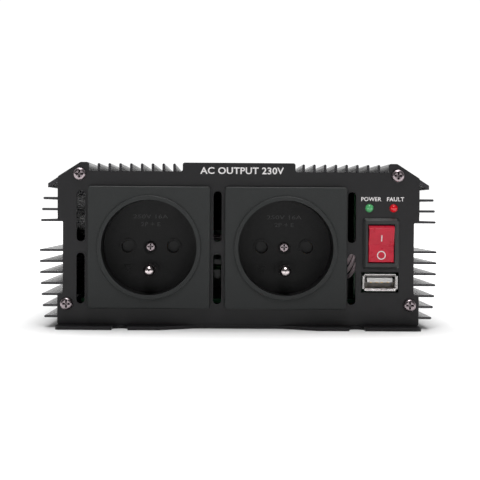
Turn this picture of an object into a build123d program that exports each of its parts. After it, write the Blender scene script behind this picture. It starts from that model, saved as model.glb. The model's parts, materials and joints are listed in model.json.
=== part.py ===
from build123d import *
import os
from math import radians, sin, sqrt, tan

# Power inverter with two outlets: a finned aluminium extrusion closed by a base plate and
# two end panels, and the electronics that it holds.
# Millimetres. +X is to the right when facing the front panel, the front faces -Y, +Z is up,
# and the origin is on the underside of the base plate, at its middle.

# ---- Overall sizes ----
BODY_LENGTH = 230.0          # extrusion, along Y
PANEL_HALF_W = 74.3          # end panels, from the middle to the side edge
PANEL_TOP_Z = 64.45          # top edge of the end panels, between ears and tab
TAB_RISE = 3.65              # tab and ears above that edge
PANEL_T = 1.5
BASE_T = 1.4

# ---- Extrusion ----
WALL_T = 2.5
WALL_SET_IN = 2.8            # wall's outer face inside the panel's edge
ROOF_DROP = 2.65             # roof's outer face below the panel's top edge
FIN_REACH = 10.3             # widest side fin beyond the wall
FIN_TIP_ARC_R = 170.0        # fin tips follow this arc
FIN_TIP_ARC_Z = 30.7         # height of the arc's widest point
SIDE_FIN_T = 0.95
SIDE_FIN_PITCH = 4.53
LOW_FIN_Z = 4.65             # lowest side fin
LOW_FIN_COUNT = 7
HIGH_FIN_COUNT = 3
HIGH_FIN_DROP = 20.3         # lowest fin of the upper bank, below the panel's top edge
TOP_FIN_T = 1.1
TOP_FIN_PITCH = 4.43
TOP_FIN_RISE = 3.25          # top fins above the panel's top edge
CHAMFER_SET_IN = 9.3         # start of the corner's slope, inside the panel's edge
CHAMFER_SLOPE = 0.644        # fall of the slope per millimetre outwards
EAR_W = 3.45                 # flat top of the ear
HOOK_REACH = 4.1             # the roof's slope runs on past the panel's edge
HOOK_T = 1.8
HOOK_LIP_T = 1.2
HOOK_LIP_DROP = 1.65
RAIL_W = 6.5                 # inner rail that the base plate screws into
RAIL_H = 6.0
FIN_ROOT = 0.5               # depth that each fin starts inside its wall
OUTLINE_GAP = 0.2            # extrusion's corner block below the panel's ear

# ---- End panels ----
TAB_HALF_W = 23.15
NOTCH_DEPTH = 2.2            # panel's side notch, over the fin roots
NOTCH_LOW_Z = 14.1
OUTLINE_R = 0.9              # rounding of the outline's corners
TOP_SCREW_SET_IN = 9.0
TOP_SCREW_DROP = 1.3
LOW_SCREW_SET_IN = 3.8
LOW_SCREW_Z = 9.95
LOW_BOSS_R = 2.9

# ---- Vent slots in the front panel ----
SLOT_W = 3.4
SLOT_LENGTH = 21.7
SLOT_LIP_W = 0.4
SLOT_LIP_H = 0.4
SLOT_ROWS_Z = (20.5, 45.95)
FIRST_SLOT_SET_IN = 9.55
SLOT_GAP = 3.0               # slot's middle to the outlet plate's edge
LAST_SLOT_GAP = 2.2

# ---- Screws ----
SCREW_R = 1.5                # M3
SCREW_HEAD_R = 2.6
SCREW_HEAD_H = 1.9
SCREW_LENGTH = 10.0
FLAT_HEAD_R = 2.75
THREAD_GAP = 0.02
CLEARANCE_GAP = 0.2          # screw through a clearance hole
BASE_SCREW_LENGTH = 6.0
FLUSH_GAP = 0.05             # countersunk heads below the underside

# ---- Base plate ----
FLANGE_REACH = 10.0          # base plate beyond the panels' outer faces
NOTCH_X = 48.1
NOTCH_R = 3.25
NOTCH_SET_OUT = 5.0          # middle of the notch's round end, outside the panel
SETBACK_HALF_W = 17.3        # middle of the edge, cut back to the panel
SETBACK_SLANT_W = 15.0
SETBACK_LEAD = 0.4           # edge left in front of the panel
BASE_CORNER_R = 2.5
END_SCREW_SET_IN = 25.0      # first and last base screw, from the extrusion's ends

# ---- Outlets ----
PLATE_SIZE = 50.0
PLATE_T = 3.0
PLATE_CORNER_R = 1.2
PLATE_EDGE_R = 0.5
SOCKET_Z = 33.25
WELL_R = 19.5
WELL_DEPTH = 15.0
RING_W = 1.8
RING_H = 0.8
CUP_WALL = 1.5
FLOOR_T = 3.0
CUP_HOLE_GAP = 0.3
PIN_PITCH = 19.0             # line and neutral, middle to middle
PIN_HOLE_R = 2.6
PIN_COLLAR_R = 3.4
PIN_COLLAR_H = 0.6
EARTH_PIN_R = 2.4
EARTH_PIN_DROP = 9.6        # below the well's middle
EARTH_PIN_SINK = 1.0         # tip inside the plate's face
EARTH_FLANGE_R = 3.6
EARTH_FLANGE_T = 1.2
EARTH_TAIL_R = 1.8
CENTRE_RECESS_R = 2.9
CENTRE_RECESS_DEPTH = 0.9
CENTRE_HEAD_R = 2.1
CENTRE_HEAD_H = 1.3
CENTRE_SHANK_R = 1.25
SOCKET_GAP = 0.05            # between the outlet's assembled pieces
BLOCK_R = 20.0               # clamp block behind the cup
BLOCK_T = 14.0
ARM_W = 3.2
ARM_H = 12.0
CONTACT_BORE_R = 2.45
CONTACT_WALL = 1.0
CONTACT_SET_IN = 1.0         # sleeve's mouth behind the block's face
CONTACT_LENGTH = 10.0
CONTACT_SLIT_W = 0.8
TAIL_W = 0.9
TAIL_H = 10.0
TAIL_LENGTH = 4.0
TAIL_LEVELS = (-3.5, 0.0, 3.5)   # feed, neutral link and line link on a tail

# ---- Rocker switch ----
SWITCH_SET_IN = 15.8
SWITCH_Z = 35.25
BEZEL_W = 14.8
BEZEL_H = 21.0
BEZEL_T = 1.8
BEZEL_CHAMFER = 1.0
SWITCH_BODY_W = 12.8
SWITCH_BODY_H = 18.8
SWITCH_BODY_DEPTH = 13.0
SWITCH_WALL = 0.9
ROCKER_W = 10.4
ROCKER_ARC_R = 7.7           # rocker's ends, about its pivot
ROCKER_MID_RISE = 2.0        # faces above the pivot, at the middle
ROCKER_END_RISE = 3.3        # faces above the pivot, at the ends
ROCKER_UNDER = 2.0
ROCKER_TILT = 11.0           # degrees to each side
ROCKER_GAP = 0.3
PIVOT_DEPTH = 0.2            # pivot behind the panel's face
PIVOT_R = 1.0
PIVOT_STUB = 0.7
PIVOT_GAP = 0.05
CAM_SIZE = 3.0
CAM_DROP = 5.5
BLADE_W = 6.3
BLADE_T = 0.8
BLADE_LENGTH = 7.0
BLADE_Z = (-6.0, 0.0)

# ---- Indicators ----
LED_R = 1.65
LED_RISE = 1.6
LED_LENGTH = 5.0
LED_HOLE_GAP = 0.1
LED_FLANGE_R = 2.0
LED_DROP = 14.55             # below the panel's top edge
LED_SET_IN = (20.65, 10.65)  # from the panel's edge: power, fault
LEAD_SIZE = 0.5
LEAD_PITCH = 2.54

# ---- USB outlet ----
USB_SET_IN = 16.1
USB_Z = 19.35
USB_W = 13.1
USB_H = 5.7
USB_WALL = 0.35
USB_RISE = 0.5               # shell in front of the panel, behind the flared lips
USB_FLARE = 0.6
USB_SLIT = 1.1               # slits between the four lips
USB_CUT_W = 15.4
USB_CUT_H = 8.4
TONGUE_W = 10.5
TONGUE_T = 1.8
TONGUE_RISE = 0.95
TONGUE_DEPTH = 9.0
USB_ROOT_T = 3.0
USB_CONTACT_W = 1.0
USB_CONTACT_T = 0.2
USB_CONTACT_PITCHES = (-3.5, -1.0, 1.0, 3.5)

# ---- Boards ----
BOARD_T = 1.6
STANDOFF_H = 8.0
STANDOFF_R = 3.0
STANDOFF_SET_IN = 15.0
STANDOFF_SET_IN_Y = 6.0      # from the board's ends
MIDDLE_STANDOFF_Y = 2.0
BOARD_SIDE_GAP = 2.5         # board's edge to the wall
BOARD_FRONT_SET_IN = 18.0
BOARD_REAR_SET_IN = 21.0
FRONT_BOARD_SIZE = (19.0, 45.0)
FRONT_BOARD_SHIFT = 0.3      # board's middle inside the switch's
FRONT_BOARD_Z = 34.5
FRONT_BOARD_DEPTH = 14.6     # its front face behind the panel's outer face
DRIVER_SIZE = (60.0, 28.0)
DRIVER_Y = -8.0

# ---- Parts on the main board ----
CORE_SIZE = (42.0, 20.0, 38.0)
CORE_X = 24.0
CORE_PLACE = 0.1             # cores behind the middle, as a share of the length
CORE_STAND = 3.0
CORE_YOKE = 6.0
CORE_LEG_W = 12.0
WINDING_GAP = 0.3
CHOKE_X = -30.0
CHOKE_SET_IN = 53.0          # from the board's front edge
CHOKE_R = (8.0, 14.0)
CHOKE_H = 12.0
CHOKE_STAND = 3.0
CHOKE_WIRE_T = 1.5
OUTPUT_CAP_R = 11.0
OUTPUT_CAP_H = 32.0
OUTPUT_CAP_XS = (12.0, 38.0)
OUTPUT_CAP_SET_IN = 53.0     # from the board's front edge
INPUT_CAP_R = 8.0
INPUT_CAP_H = 32.0
INPUT_CAP_XS = (-50.0, -32.0, -14.0, 4.0)
INPUT_CAP_SET_IN = 24.0      # from the board's rear edge
FUSE_XS = (26.0, 36.0, 46.0, 56.0)
FUSE_SET_IN = 28.0           # from the board's rear edge
FUSE_SIZE = (5.2, 19.0, 16.0)
BUZZER_X = 50.0
BUZZER_SET_IN = 31.0         # from the board's front edge
BUZZER_R = 6.0
BUZZER_H = 9.0
CHIP_COUNT = 6
CHIP_PITCH = 14.0
CHIP_SIZE = (4.5, 10.2, 15.5)
CHIP_STAND = 7.0
CHIP_LEAD_INSET = 2.7
PAD_T = 0.5
PAD_MARGIN = 2.0
BAR_T = 2.0
BAR_H = 9.0

# ---- Fan ----
FAN_SIZE = 50.0
FAN_T = 15.0
FAN_SET_IN = 38.3
FAN_Z = 33.5
FAN_BORE_R = 23.9
FAN_CORNER_R = 3.0
FAN_HOLE_PITCH = 40.0
FAN_SCREW_R = 2.0
FAN_HEAD_R = 3.6
FAN_HEAD_H = 2.2
FAN_STRUT_T = 2.0
FAN_STRUT_W = 3.5
FAN_HUB_R = 13.0
FAN_HUB_WALL = 1.5
FAN_BEARING_WALL = 1.5
FAN_BEARING_H = 6.0
ROTOR_TIP_GAP = 0.8
ROTOR_AXIAL_GAP = 1.0
ROTOR_BLADES = 7
ROTOR_BLADE_T = 1.2
ROTOR_BLADE_PITCH = 50.0
ROTOR_FACE_T = 2.0
SHAFT_R = 1.5
SHAFT_GAP = 0.04
BUSH_R = 3.0
GUARD_WIRE_R = 0.9
GUARD_RINGS = (6.0, 11.5, 17.0, 22.5)
GUARD_RING_RISE = 1.2        # middle of the rings above the middle of the legs
GUARD_EYE_R = 3.8
GUARD_EYE_T = 2.0
NUT_H = 3.2

# ---- Battery terminals ----
TERMINAL_SET_IN = 24.3
TERMINAL_SPACING = 32.0
TERMINAL_Z = 33.5
STUD_R = 4.0
STUD_OUT = 22.0              # stud beyond the rear panel
STUD_IN = 20.0               # stud inside it
BUSHING_R = 11.5
BUSHING_T = 5.0
BUSHING_NECK_R = 6.5
BUSHING_NECK_GAP = 0.25
BUSHING_NECK_REACH = 2.0     # neck inside the panel
BUSHING_SEAT_R = 9.0
BUSHING_SEAT_DEPTH = 1.0
WASHER_R = 8.6
WASHER_T = 1.5
KNOB_R = 10.5
KNOB_LENGTH = 18.0
KNOB_GAP = 0.3               # knob's face to the washer
KNOB_FLUTES = 12
KNOB_FLUTE_R = 1.7
KNOB_BORE_GAP = 0.05
KNOB_CAVITY_SPARE = 2.0      # room past the stud's end
STUD_NUT_R = 7.2
STUD_NUT_T = 5.0
LUG_R = 7.5
LUG_T = 1.5
LUG_RISE = 11.0              # barrel above the stud
LUG_BARREL = 6.0
LUG_BARREL_WALL = 0.8
EARTH_SCREW_Z = 11.0
EARTH_SCREW_R = 2.0
EARTH_WASHER_R = 4.5
EARTH_WASHER_T = 1.0
EARTH_SCREW_REACH = 6.0      # past the panel

# ---- Wires ----
MAINS_WIRE_R = 1.2
CONTROL_WIRE_R = 0.75
LEAD_WIRE_R = 2.6
LINK_REACH = 13.0            # wires behind the outlets' tails
FEED_REACH = 17.0
EARTH_REACH = 10.0
LEAD_REACH = 19.0
FAN_WIRE_REACH = 9.0
FAN_WIRE_SHIFT = 2.0         # each wire to one side of the fan's axis
SWITCH_WIRE_SHIFTS = (-2.0, 2.0)
SWITCH_WIRE_REACHES = (8.0, 13.0)
FRONT_WIRE_SET_IN = 1.5      # wires of the front board, from its inner edge
FRONT_WIRE_LOW = -5.5        # lowest wire, from the board's middle
FRONT_WIRE_PITCH = 5.0
FRONT_WIRE_REACH = 7.0       # straight forward of the board
FRONT_LOOP_REACH = 7.5       # loops behind the last vents
FRONT_WIRE_SHIFT = 0.6
FRONT_WIRE_DROP = 7.0
FRONT_WIRE_FALL = 3.5        # further drop of each next wire
FRONT_WIRE_FOOT = 3.0        # feet behind the main board's front edge
FRONT_FOOT_PITCH = 2.5
FRONT_FOOT_RISE = 8.0
FRONT_FOOT_STEP = 1.5

# ---- Worked out from the sizes above ----
END_Y = BODY_LENGTH / 2
FACE_Y = END_Y + PANEL_T
EAR_TOP_Z = PANEL_TOP_Z + TAB_RISE
BLOCK_TOP_Z = EAR_TOP_Z - OUTLINE_GAP
WALL_OUT_X = PANEL_HALF_W - WALL_SET_IN
WALL_IN_X = WALL_OUT_X - WALL_T
ROOF_TOP_Z = PANEL_TOP_Z - ROOF_DROP
ROOF_UNDER_Z = ROOF_TOP_Z - WALL_T
CHAMFER_X = PANEL_HALF_W - CHAMFER_SET_IN
EAR_X = CHAMFER_X - EAR_W
HIGH_FIN_Z = PANEL_TOP_Z - HIGH_FIN_DROP
TOP_SCREW_X = PANEL_HALF_W - TOP_SCREW_SET_IN
TOP_SCREW_Z = PANEL_TOP_Z - TOP_SCREW_DROP
LOW_SCREW_X = PANEL_HALF_W - LOW_SCREW_SET_IN
PANEL_SCREWS = [(side * TOP_SCREW_X, TOP_SCREW_Z) for side in (-1, 1)]
PANEL_SCREWS += [(side * LOW_SCREW_X, LOW_SCREW_Z) for side in (-1, 1)]
RAIL_SCREW_X = WALL_IN_X - RAIL_W / 2
RAIL_SCREW_YS = (-END_Y + END_SCREW_SET_IN, 0.0, END_Y - END_SCREW_SET_IN)
TAPPED_R = SCREW_R + THREAD_GAP

FIRST_SLOT_X = FIRST_SLOT_SET_IN - PANEL_HALF_W
LEFT_SOCKET_X = FIRST_SLOT_X + SLOT_GAP + PLATE_SIZE / 2
MIDDLE_SLOT_X = LEFT_SOCKET_X + PLATE_SIZE / 2 + SLOT_GAP
RIGHT_SOCKET_X = MIDDLE_SLOT_X + SLOT_GAP + PLATE_SIZE / 2
LAST_SLOT_X = RIGHT_SOCKET_X + PLATE_SIZE / 2 + LAST_SLOT_GAP
SWITCH_X = PANEL_HALF_W - SWITCH_SET_IN
USB_X = PANEL_HALF_W - USB_SET_IN
LED_XS = [PANEL_HALF_W - set_in for set_in in LED_SET_IN]
LED_Z = PANEL_TOP_Z - LED_DROP

CUP_R = WELL_R + CUP_WALL
FLOOR_OUT = PLATE_T - WELL_DEPTH           # well's floor, outwards from the panel's face
FLOOR_BACK = FLOOR_OUT - FLOOR_T
BLOCK_FRONT = FLOOR_BACK - SOCKET_GAP
BLOCK_BACK = BLOCK_FRONT - BLOCK_T
CONTACT_R = CONTACT_BORE_R + CONTACT_WALL
CONTACT_FRONT = BLOCK_FRONT - CONTACT_SET_IN
CONTACT_BACK = CONTACT_FRONT - CONTACT_LENGTH
TAIL_BACK = BLOCK_BACK - TAIL_LENGTH
TAIL_Y = -FACE_Y - TAIL_BACK

BOARD_UNDER_Z = BASE_T + STANDOFF_H
BOARD_TOP_Z = BOARD_UNDER_Z + BOARD_T
BOARD_HALF_W = WALL_IN_X - BOARD_SIDE_GAP
BOARD_YS = (-END_Y + BOARD_FRONT_SET_IN, END_Y - BOARD_REAR_SET_IN)
CORE_Y = CORE_PLACE * BODY_LENGTH
CHOKE_PLACE = (CHOKE_X, BOARD_YS[0] + CHOKE_SET_IN)
OUTPUT_CAP_PLACES = [(x, BOARD_YS[0] + OUTPUT_CAP_SET_IN) for x in OUTPUT_CAP_XS]
INPUT_CAP_PLACES = [(x, BOARD_YS[1] - INPUT_CAP_SET_IN) for x in INPUT_CAP_XS]
FUSE_PLACES = [(x, BOARD_YS[1] - FUSE_SET_IN) for x in FUSE_XS]
BUZZER_PLACE = (BUZZER_X, BOARD_YS[0] + BUZZER_SET_IN)
STANDOFF_X = BOARD_HALF_W - STANDOFF_SET_IN
STANDOFF_YS = (BOARD_YS[0] + STANDOFF_SET_IN_Y, MIDDLE_STANDOFF_Y, BOARD_YS[1] - STANDOFF_SET_IN_Y)
FRONT_BOARD_X = SWITCH_X - FRONT_BOARD_SHIFT

FAN_X = FAN_SET_IN - PANEL_HALF_W
TERMINAL_XS = (PANEL_HALF_W - TERMINAL_SET_IN - TERMINAL_SPACING, PANEL_HALF_W - TERMINAL_SET_IN)
EARTH_SCREW_X = sum(TERMINAL_XS) / 2
NECK_BACK = -PANEL_T - BUSHING_NECK_REACH
LUG_BACK = NECK_BACK - STUD_NUT_T - LUG_T
WASHER_OUT = BUSHING_T - BUSHING_SEAT_DEPTH
KNOB_OUT = WASHER_OUT + WASHER_T + KNOB_GAP

FRONT = Plane(origin=(0, -FACE_Y, 0), x_dir=(1, 0, 0), z_dir=(0, -1, 0))
REAR = Plane(origin=(0, FACE_Y, 0), x_dir=(-1, 0, 0), z_dir=(0, 1, 0))


# ---- Shapes used by many pieces ----

def on_front(part, x, z, out=0.0):
    """Put a piece on the front panel's outer face, with its own +Z pointing out of the case."""
    return FRONT * Pos(x, z, out) * part


def on_rear(part, x, z, out=0.0):
    """Put a piece on the rear panel's outer face, with its own +Z pointing out of the case."""
    return REAR * Pos(-x, z, out) * part


def block(x, y, z):
    """Box between two limits on each axis."""
    middle = [(low + high) / 2 for low, high in (x, y, z)]
    return Pos(*middle) * Box(x[1] - x[0], y[1] - y[0], z[1] - z[0])


def flat(x, y):
    """Rectangle between two limits on each axis."""
    return Pos((x[0] + x[1]) / 2, (y[0] + y[1]) / 2) * Rectangle(x[1] - x[0], y[1] - y[0])


def prism(outline, low, high):
    """Outline raised from one height to another."""
    return Pos(0, 0, low) * extrude(outline, high - low)


def disc(radius, low, high, x=0.0, y=0.0):
    """Round bar along Z between two heights."""
    return Pos(x, y, (low + high) / 2) * Cylinder(radius, high - low)


def centred(size, low, high, x=0.0, y=0.0, corner=0.0):
    """Box of a given plan size, between two heights, its upright edges rounded if asked."""
    outline = RectangleRounded(size[0], size[1], corner) if corner else Rectangle(*size)
    return prism(Pos(x, y) * outline, low, high)


def group(pieces):
    """Separate solids kept in one node."""
    return Compound(children=[solid for piece in pieces for solid in piece.solids()])


def top_edges(part):
    """Edges of the highest face."""
    return part.faces().sort_by(Axis.Z)[-1].edges()


def pan_screw(head_r, head_h, shank_r, length):
    """Pan-head screw with a cross recess: head above z = 0, shank below."""
    head = disc(head_r, 0, head_h)
    head = fillet(top_edges(head), head_h * 0.6)
    arm = head_r * 0.6
    half = head_r * 0.15
    recess = [Rot(0, 0, turn) * block((-arm, arm), (-half, half), (head_h * 0.35, head_h))
              for turn in (0, 90)]
    return head + disc(shank_r, -length, 0) - recess


def flat_screw(head_r, shank_r, length):
    """Countersunk screw with a cross recess, pointing up from its flat head at z = 0."""
    cone_h = head_r - shank_r
    body = Pos(0, 0, cone_h / 2) * Cone(head_r, shank_r, cone_h)
    arm = head_r * 0.6
    half = head_r * 0.13
    recess = [Rot(0, 0, turn) * block((-arm, arm), (-half, half), (0, cone_h * 0.7))
              for turn in (0, 90)]
    return body + disc(shank_r, 0, length) - recess


def hex_nut(radius, height, bore_r):
    """Hexagon nut standing on z = 0."""
    return extrude(RegularPolygon(radius, 6), height) - disc(bore_r, 0, height)


def bend_radii(points):
    """Arc at each corner of a wire: 0.45 of the shorter run over the tangent of half the turn."""
    radii = []
    for before, corner, after in zip(points, points[1:], points[2:]):
        arriving = Vector(*corner) - Vector(*before)
        leaving = Vector(*after) - Vector(*corner)
        half_turn = radians(arriving.get_angle(leaving)) / 2
        radii.append(0.45 * min(arriving.length, leaving.length) / tan(half_turn))
    return radii


def wire(points, radius):
    """Round wire: straight runs joined by tangent arcs."""
    path = FilletPolyline(*points, radius=bend_radii(points))
    return sweep(Plane(origin=path @ 0, z_dir=path % 0) * Circle(radius), path)


# ---- Case ----

def slope_z(x):
    """Height of the extrusion's sloping corner."""
    return BLOCK_TOP_Z - CHAMFER_SLOPE * (x - CHAMFER_X)


def fin_tip_x(z):
    """Side fins end on an arc that is widest at FIN_TIP_ARC_Z."""
    sag = FIN_TIP_ARC_R - sqrt(FIN_TIP_ARC_R ** 2 - (z - FIN_TIP_ARC_Z) ** 2)
    return WALL_OUT_X + FIN_REACH - sag


def fin(thickness, root, tip):
    """Fin section along +X with a round tip."""
    nose = thickness / 2
    return flat((root, tip - nose), (-nose, nose)) + Pos(tip - nose, 0) * Circle(nose)


def side_fin_heights():
    low = [LOW_FIN_Z + SIDE_FIN_PITCH * i for i in range(LOW_FIN_COUNT)]
    high = [HIGH_FIN_Z + SIDE_FIN_PITCH * i for i in range(HIGH_FIN_COUNT)]
    return low + high


def corner_section():
    """Right-hand corner block, its sloping roof and the lip at the slope's end."""
    hook_x = PANEL_HALF_W + HOOK_REACH
    inner_x = hook_x - HOOK_LIP_T
    points = [
        (EAR_X, ROOF_UNDER_Z),
        (EAR_X, BLOCK_TOP_Z),
        (CHAMFER_X, BLOCK_TOP_Z),
        (hook_x, slope_z(hook_x)),
        (hook_x, slope_z(hook_x) - HOOK_LIP_DROP),
        (inner_x, slope_z(hook_x) - HOOK_LIP_DROP),
        (inner_x, slope_z(inner_x) - HOOK_T),
        (WALL_OUT_X, slope_z(WALL_OUT_X) - HOOK_T),
        (WALL_OUT_X, ROOF_UNDER_Z),
    ]
    return make_face(Polyline(*points, close=True))


def half_section():
    """Right half of the extrusion's section, without the top fins."""
    wall = flat((WALL_IN_X, WALL_OUT_X), (BASE_T, ROOF_TOP_Z))
    roof = flat((0, WALL_OUT_X), (ROOF_UNDER_Z, ROOF_TOP_Z))
    rail = flat((WALL_IN_X - RAIL_W, WALL_IN_X + FIN_ROOT), (BASE_T, BASE_T + RAIL_H))
    boss = Pos(LOW_SCREW_X, LOW_SCREW_Z) * Circle(LOW_BOSS_R)
    fins = [Pos(0, z) * fin(SIDE_FIN_T, WALL_OUT_X - FIN_ROOT, fin_tip_x(z))
            for z in side_fin_heights()]
    return wall + [roof, rail, boss, corner_section()] + fins


def top_fins():
    """Upright fins across the roof, between the corner blocks."""
    tip = PANEL_TOP_Z + TOP_FIN_RISE
    each_side = int((EAR_X - TOP_FIN_PITCH / 2) / TOP_FIN_PITCH)
    upright = Rot(0, 0, 90) * fin(TOP_FIN_T, ROOF_TOP_Z - FIN_ROOT, tip)
    return [Pos(TOP_FIN_PITCH * i, 0) * upright for i in range(-each_side, each_side + 1)]


def heatsink_shell():
    half = half_section()
    section = half + [mirror(half, Plane.YZ)] + top_fins()
    section -= [Pos(x, z) * Circle(TAPPED_R) for x, z in PANEL_SCREWS]
    shell = extrude(Plane.XZ * section, BODY_LENGTH / 2, both=True)
    holes = [disc(TAPPED_R, BASE_T, BASE_T + RAIL_H - 0.5, side * RAIL_SCREW_X, y)
             for side in (-1, 1) for y in RAIL_SCREW_YS]
    wall_depth = WALL_T - 0.4
    holes += [Pos(side * (WALL_IN_X + wall_depth / 2), y, bar_z()) * Rot(0, 90, 0)
              * Cylinder(TAPPED_R, wall_depth) for side in (-1, 1) for y in bar_screw_ys()]
    return shell - holes


def base_plate():
    """Base plate with a flange past each panel: two notches in each, and a setback between."""
    edge_y = FACE_Y + FLANGE_REACH
    plate = Rectangle(2 * PANEL_HALF_W, 2 * edge_y)
    plate = fillet(plate.vertices(), BASE_CORNER_R)
    near_y = FACE_Y + SETBACK_LEAD
    outer_x = SETBACK_HALF_W + SETBACK_SLANT_W
    setback = make_face(Polyline((-SETBACK_HALF_W, near_y), (SETBACK_HALF_W, near_y),
                                 (outer_x, edge_y), (-outer_x, edge_y), close=True))
    for end in (0, 180):
        plate -= Rot(0, 0, end) * setback
        for side in (-1, 1):
            round_end = Pos(side * NOTCH_X, FACE_Y + NOTCH_SET_OUT) * Circle(NOTCH_R)
            mouth = flat((side * NOTCH_X - NOTCH_R, side * NOTCH_X + NOTCH_R),
                         (FACE_Y + NOTCH_SET_OUT, edge_y + 1.0))
            plate -= Rot(0, 0, end) * (round_end + mouth)
    bends = [v for v in plate.vertices()
             if abs(v.X) < outer_x + 0.1 and abs(v.X) > SETBACK_HALF_W - 0.1]
    plate = fillet(bends, BASE_CORNER_R)
    body = prism(plate, 0, BASE_T)
    cone_h = FLAT_HEAD_R - SCREW_R
    sink = Pos(0, 0, cone_h / 2 + FLUSH_GAP) * Cone(FLAT_HEAD_R, SCREW_R, cone_h)
    sink += [disc(FLAT_HEAD_R, 0, FLUSH_GAP), disc(TAPPED_R, 0, BASE_T)]
    places = [(side * RAIL_SCREW_X, y) for side in (-1, 1) for y in RAIL_SCREW_YS]
    places += standoff_places()
    return body - [Pos(x, y, 0) * sink for x, y in places]


def panel_outline():
    """End panel: notched sides, sloping ears and a raised tab."""
    notch_x = PANEL_HALF_W - NOTCH_DEPTH
    slope_end_z = EAR_TOP_Z - CHAMFER_SLOPE * CHAMFER_SET_IN
    right = [
        (PANEL_HALF_W, BASE_T),
        (PANEL_HALF_W, NOTCH_LOW_Z),
        (notch_x, NOTCH_LOW_Z),
        (notch_x, HIGH_FIN_Z),
        (PANEL_HALF_W, HIGH_FIN_Z),
        (PANEL_HALF_W, slope_end_z),
        (CHAMFER_X, EAR_TOP_Z),
        (EAR_X, EAR_TOP_Z),
        (EAR_X, PANEL_TOP_Z),
        (TAB_HALF_W, PANEL_TOP_Z),
        (TAB_HALF_W, EAR_TOP_Z),
    ]
    left = [(-x, z) for x, z in reversed(right)]
    outline = make_face(Polyline(*right, *left, close=True))
    return fillet(outline.vertices(), OUTLINE_R)


def panel_blank():
    """End panel before its openings, its outer face on z = 0, with the corner screws' holes."""
    hole_r = SCREW_R + CLEARANCE_GAP
    outline = panel_outline() - [Pos(x, z) * Circle(hole_r) for x, z in PANEL_SCREWS]
    return prism(outline, -PANEL_T, 0)


def front_panel():
    panel = panel_blank()
    slot = SlotOverall(SLOT_LENGTH - 2 * SLOT_LIP_W, SLOT_W, rotation=90)
    lip = SlotOverall(SLOT_LENGTH, SLOT_W + 2 * SLOT_LIP_W, rotation=90)
    places = [(x, z) for x in (FIRST_SLOT_X, MIDDLE_SLOT_X, LAST_SLOT_X) for z in SLOT_ROWS_Z]
    panel += [prism(Pos(x, z) * lip, -PANEL_T, SLOT_LIP_H) for x, z in places]
    holes = [Pos(x, z) * slot for x, z in places]
    holes += [Pos(x, SOCKET_Z) * Circle(CUP_R + CUP_HOLE_GAP)
              for x in (LEFT_SOCKET_X, RIGHT_SOCKET_X)]
    holes += [Pos(x, LED_Z) * Circle(LED_R + LED_HOLE_GAP) for x in LED_XS]
    holes.append(Pos(SWITCH_X, SWITCH_Z) * Rectangle(SWITCH_BODY_W + CLEARANCE_GAP,
                                                      SWITCH_BODY_H + CLEARANCE_GAP))
    holes.append(Pos(USB_X, USB_Z) * Rectangle(USB_CUT_W, USB_CUT_H))
    panel -= [prism(hole, -PANEL_T, SLOT_LIP_H) for hole in holes]
    return FRONT * panel


def rear_panel():
    panel = panel_blank()
    reach = FAN_HOLE_PITCH / 2
    holes = [Pos(-FAN_X, FAN_Z) * Circle(FAN_BORE_R)]
    holes += [Pos(-FAN_X + sx * reach, FAN_Z + sz * reach) * Circle(FAN_SCREW_R + CLEARANCE_GAP)
              for sx in (-1, 1) for sz in (-1, 1)]
    holes += [Pos(-x, TERMINAL_Z) * Circle(BUSHING_NECK_R + BUSHING_NECK_GAP)
              for x in TERMINAL_XS]
    holes.append(Pos(-EARTH_SCREW_X, EARTH_SCREW_Z) * Circle(EARTH_SCREW_R + THREAD_GAP))
    panel -= [prism(hole, -PANEL_T, 0) for hole in holes]
    return REAR * panel


def panel_screws():
    screw = pan_screw(SCREW_HEAD_R, SCREW_HEAD_H, SCREW_R, SCREW_LENGTH)
    return group([place(screw, x, z) for place in (on_front, on_rear) for x, z in PANEL_SCREWS])


def base_plate_screws():
    screw = flat_screw(FLAT_HEAD_R, SCREW_R, BASE_SCREW_LENGTH)
    return group([Pos(side * RAIL_SCREW_X, y, FLUSH_GAP) * screw
                  for side in (-1, 1) for y in RAIL_SCREW_YS])


# ---- Outlets, built about the well's middle with +Z out of the case ----

def socket_body():
    plate = centred((PLATE_SIZE, PLATE_SIZE), 0, PLATE_T, corner=PLATE_CORNER_R)
    plate = fillet(top_edges(plate), PLATE_EDGE_R)
    ring = disc(WELL_R + RING_W, 0, PLATE_T + RING_H)
    ring = fillet(top_edges(ring), RING_H / 2)
    body = plate + [ring, disc(CUP_R, FLOOR_BACK, PLATE_T)]
    body -= disc(WELL_R, FLOOR_OUT, PLATE_T + RING_H)
    pins = [side * PIN_PITCH / 2 for side in (-1, 1)]
    collar = disc(PIN_COLLAR_R, FLOOR_OUT - 0.5, FLOOR_OUT + PIN_COLLAR_H)
    body += [Pos(x, 0, 0) * collar for x in pins]
    body += disc(EARTH_PIN_R + 1.2, FLOOR_OUT - 0.5, FLOOR_OUT + PIN_COLLAR_H, 0, -EARTH_PIN_DROP)
    top = FLOOR_OUT + PIN_COLLAR_H
    holes = [disc(PIN_HOLE_R, FLOOR_BACK, top, x) for x in pins]
    holes.append(disc(EARTH_PIN_R + SOCKET_GAP, FLOOR_BACK, top, 0, -EARTH_PIN_DROP))
    holes.append(disc(CENTRE_RECESS_R, FLOOR_OUT - CENTRE_RECESS_DEPTH, top))
    holes.append(disc(CENTRE_SHANK_R + CLEARANCE_GAP, FLOOR_BACK, top))
    return body - holes


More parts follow.
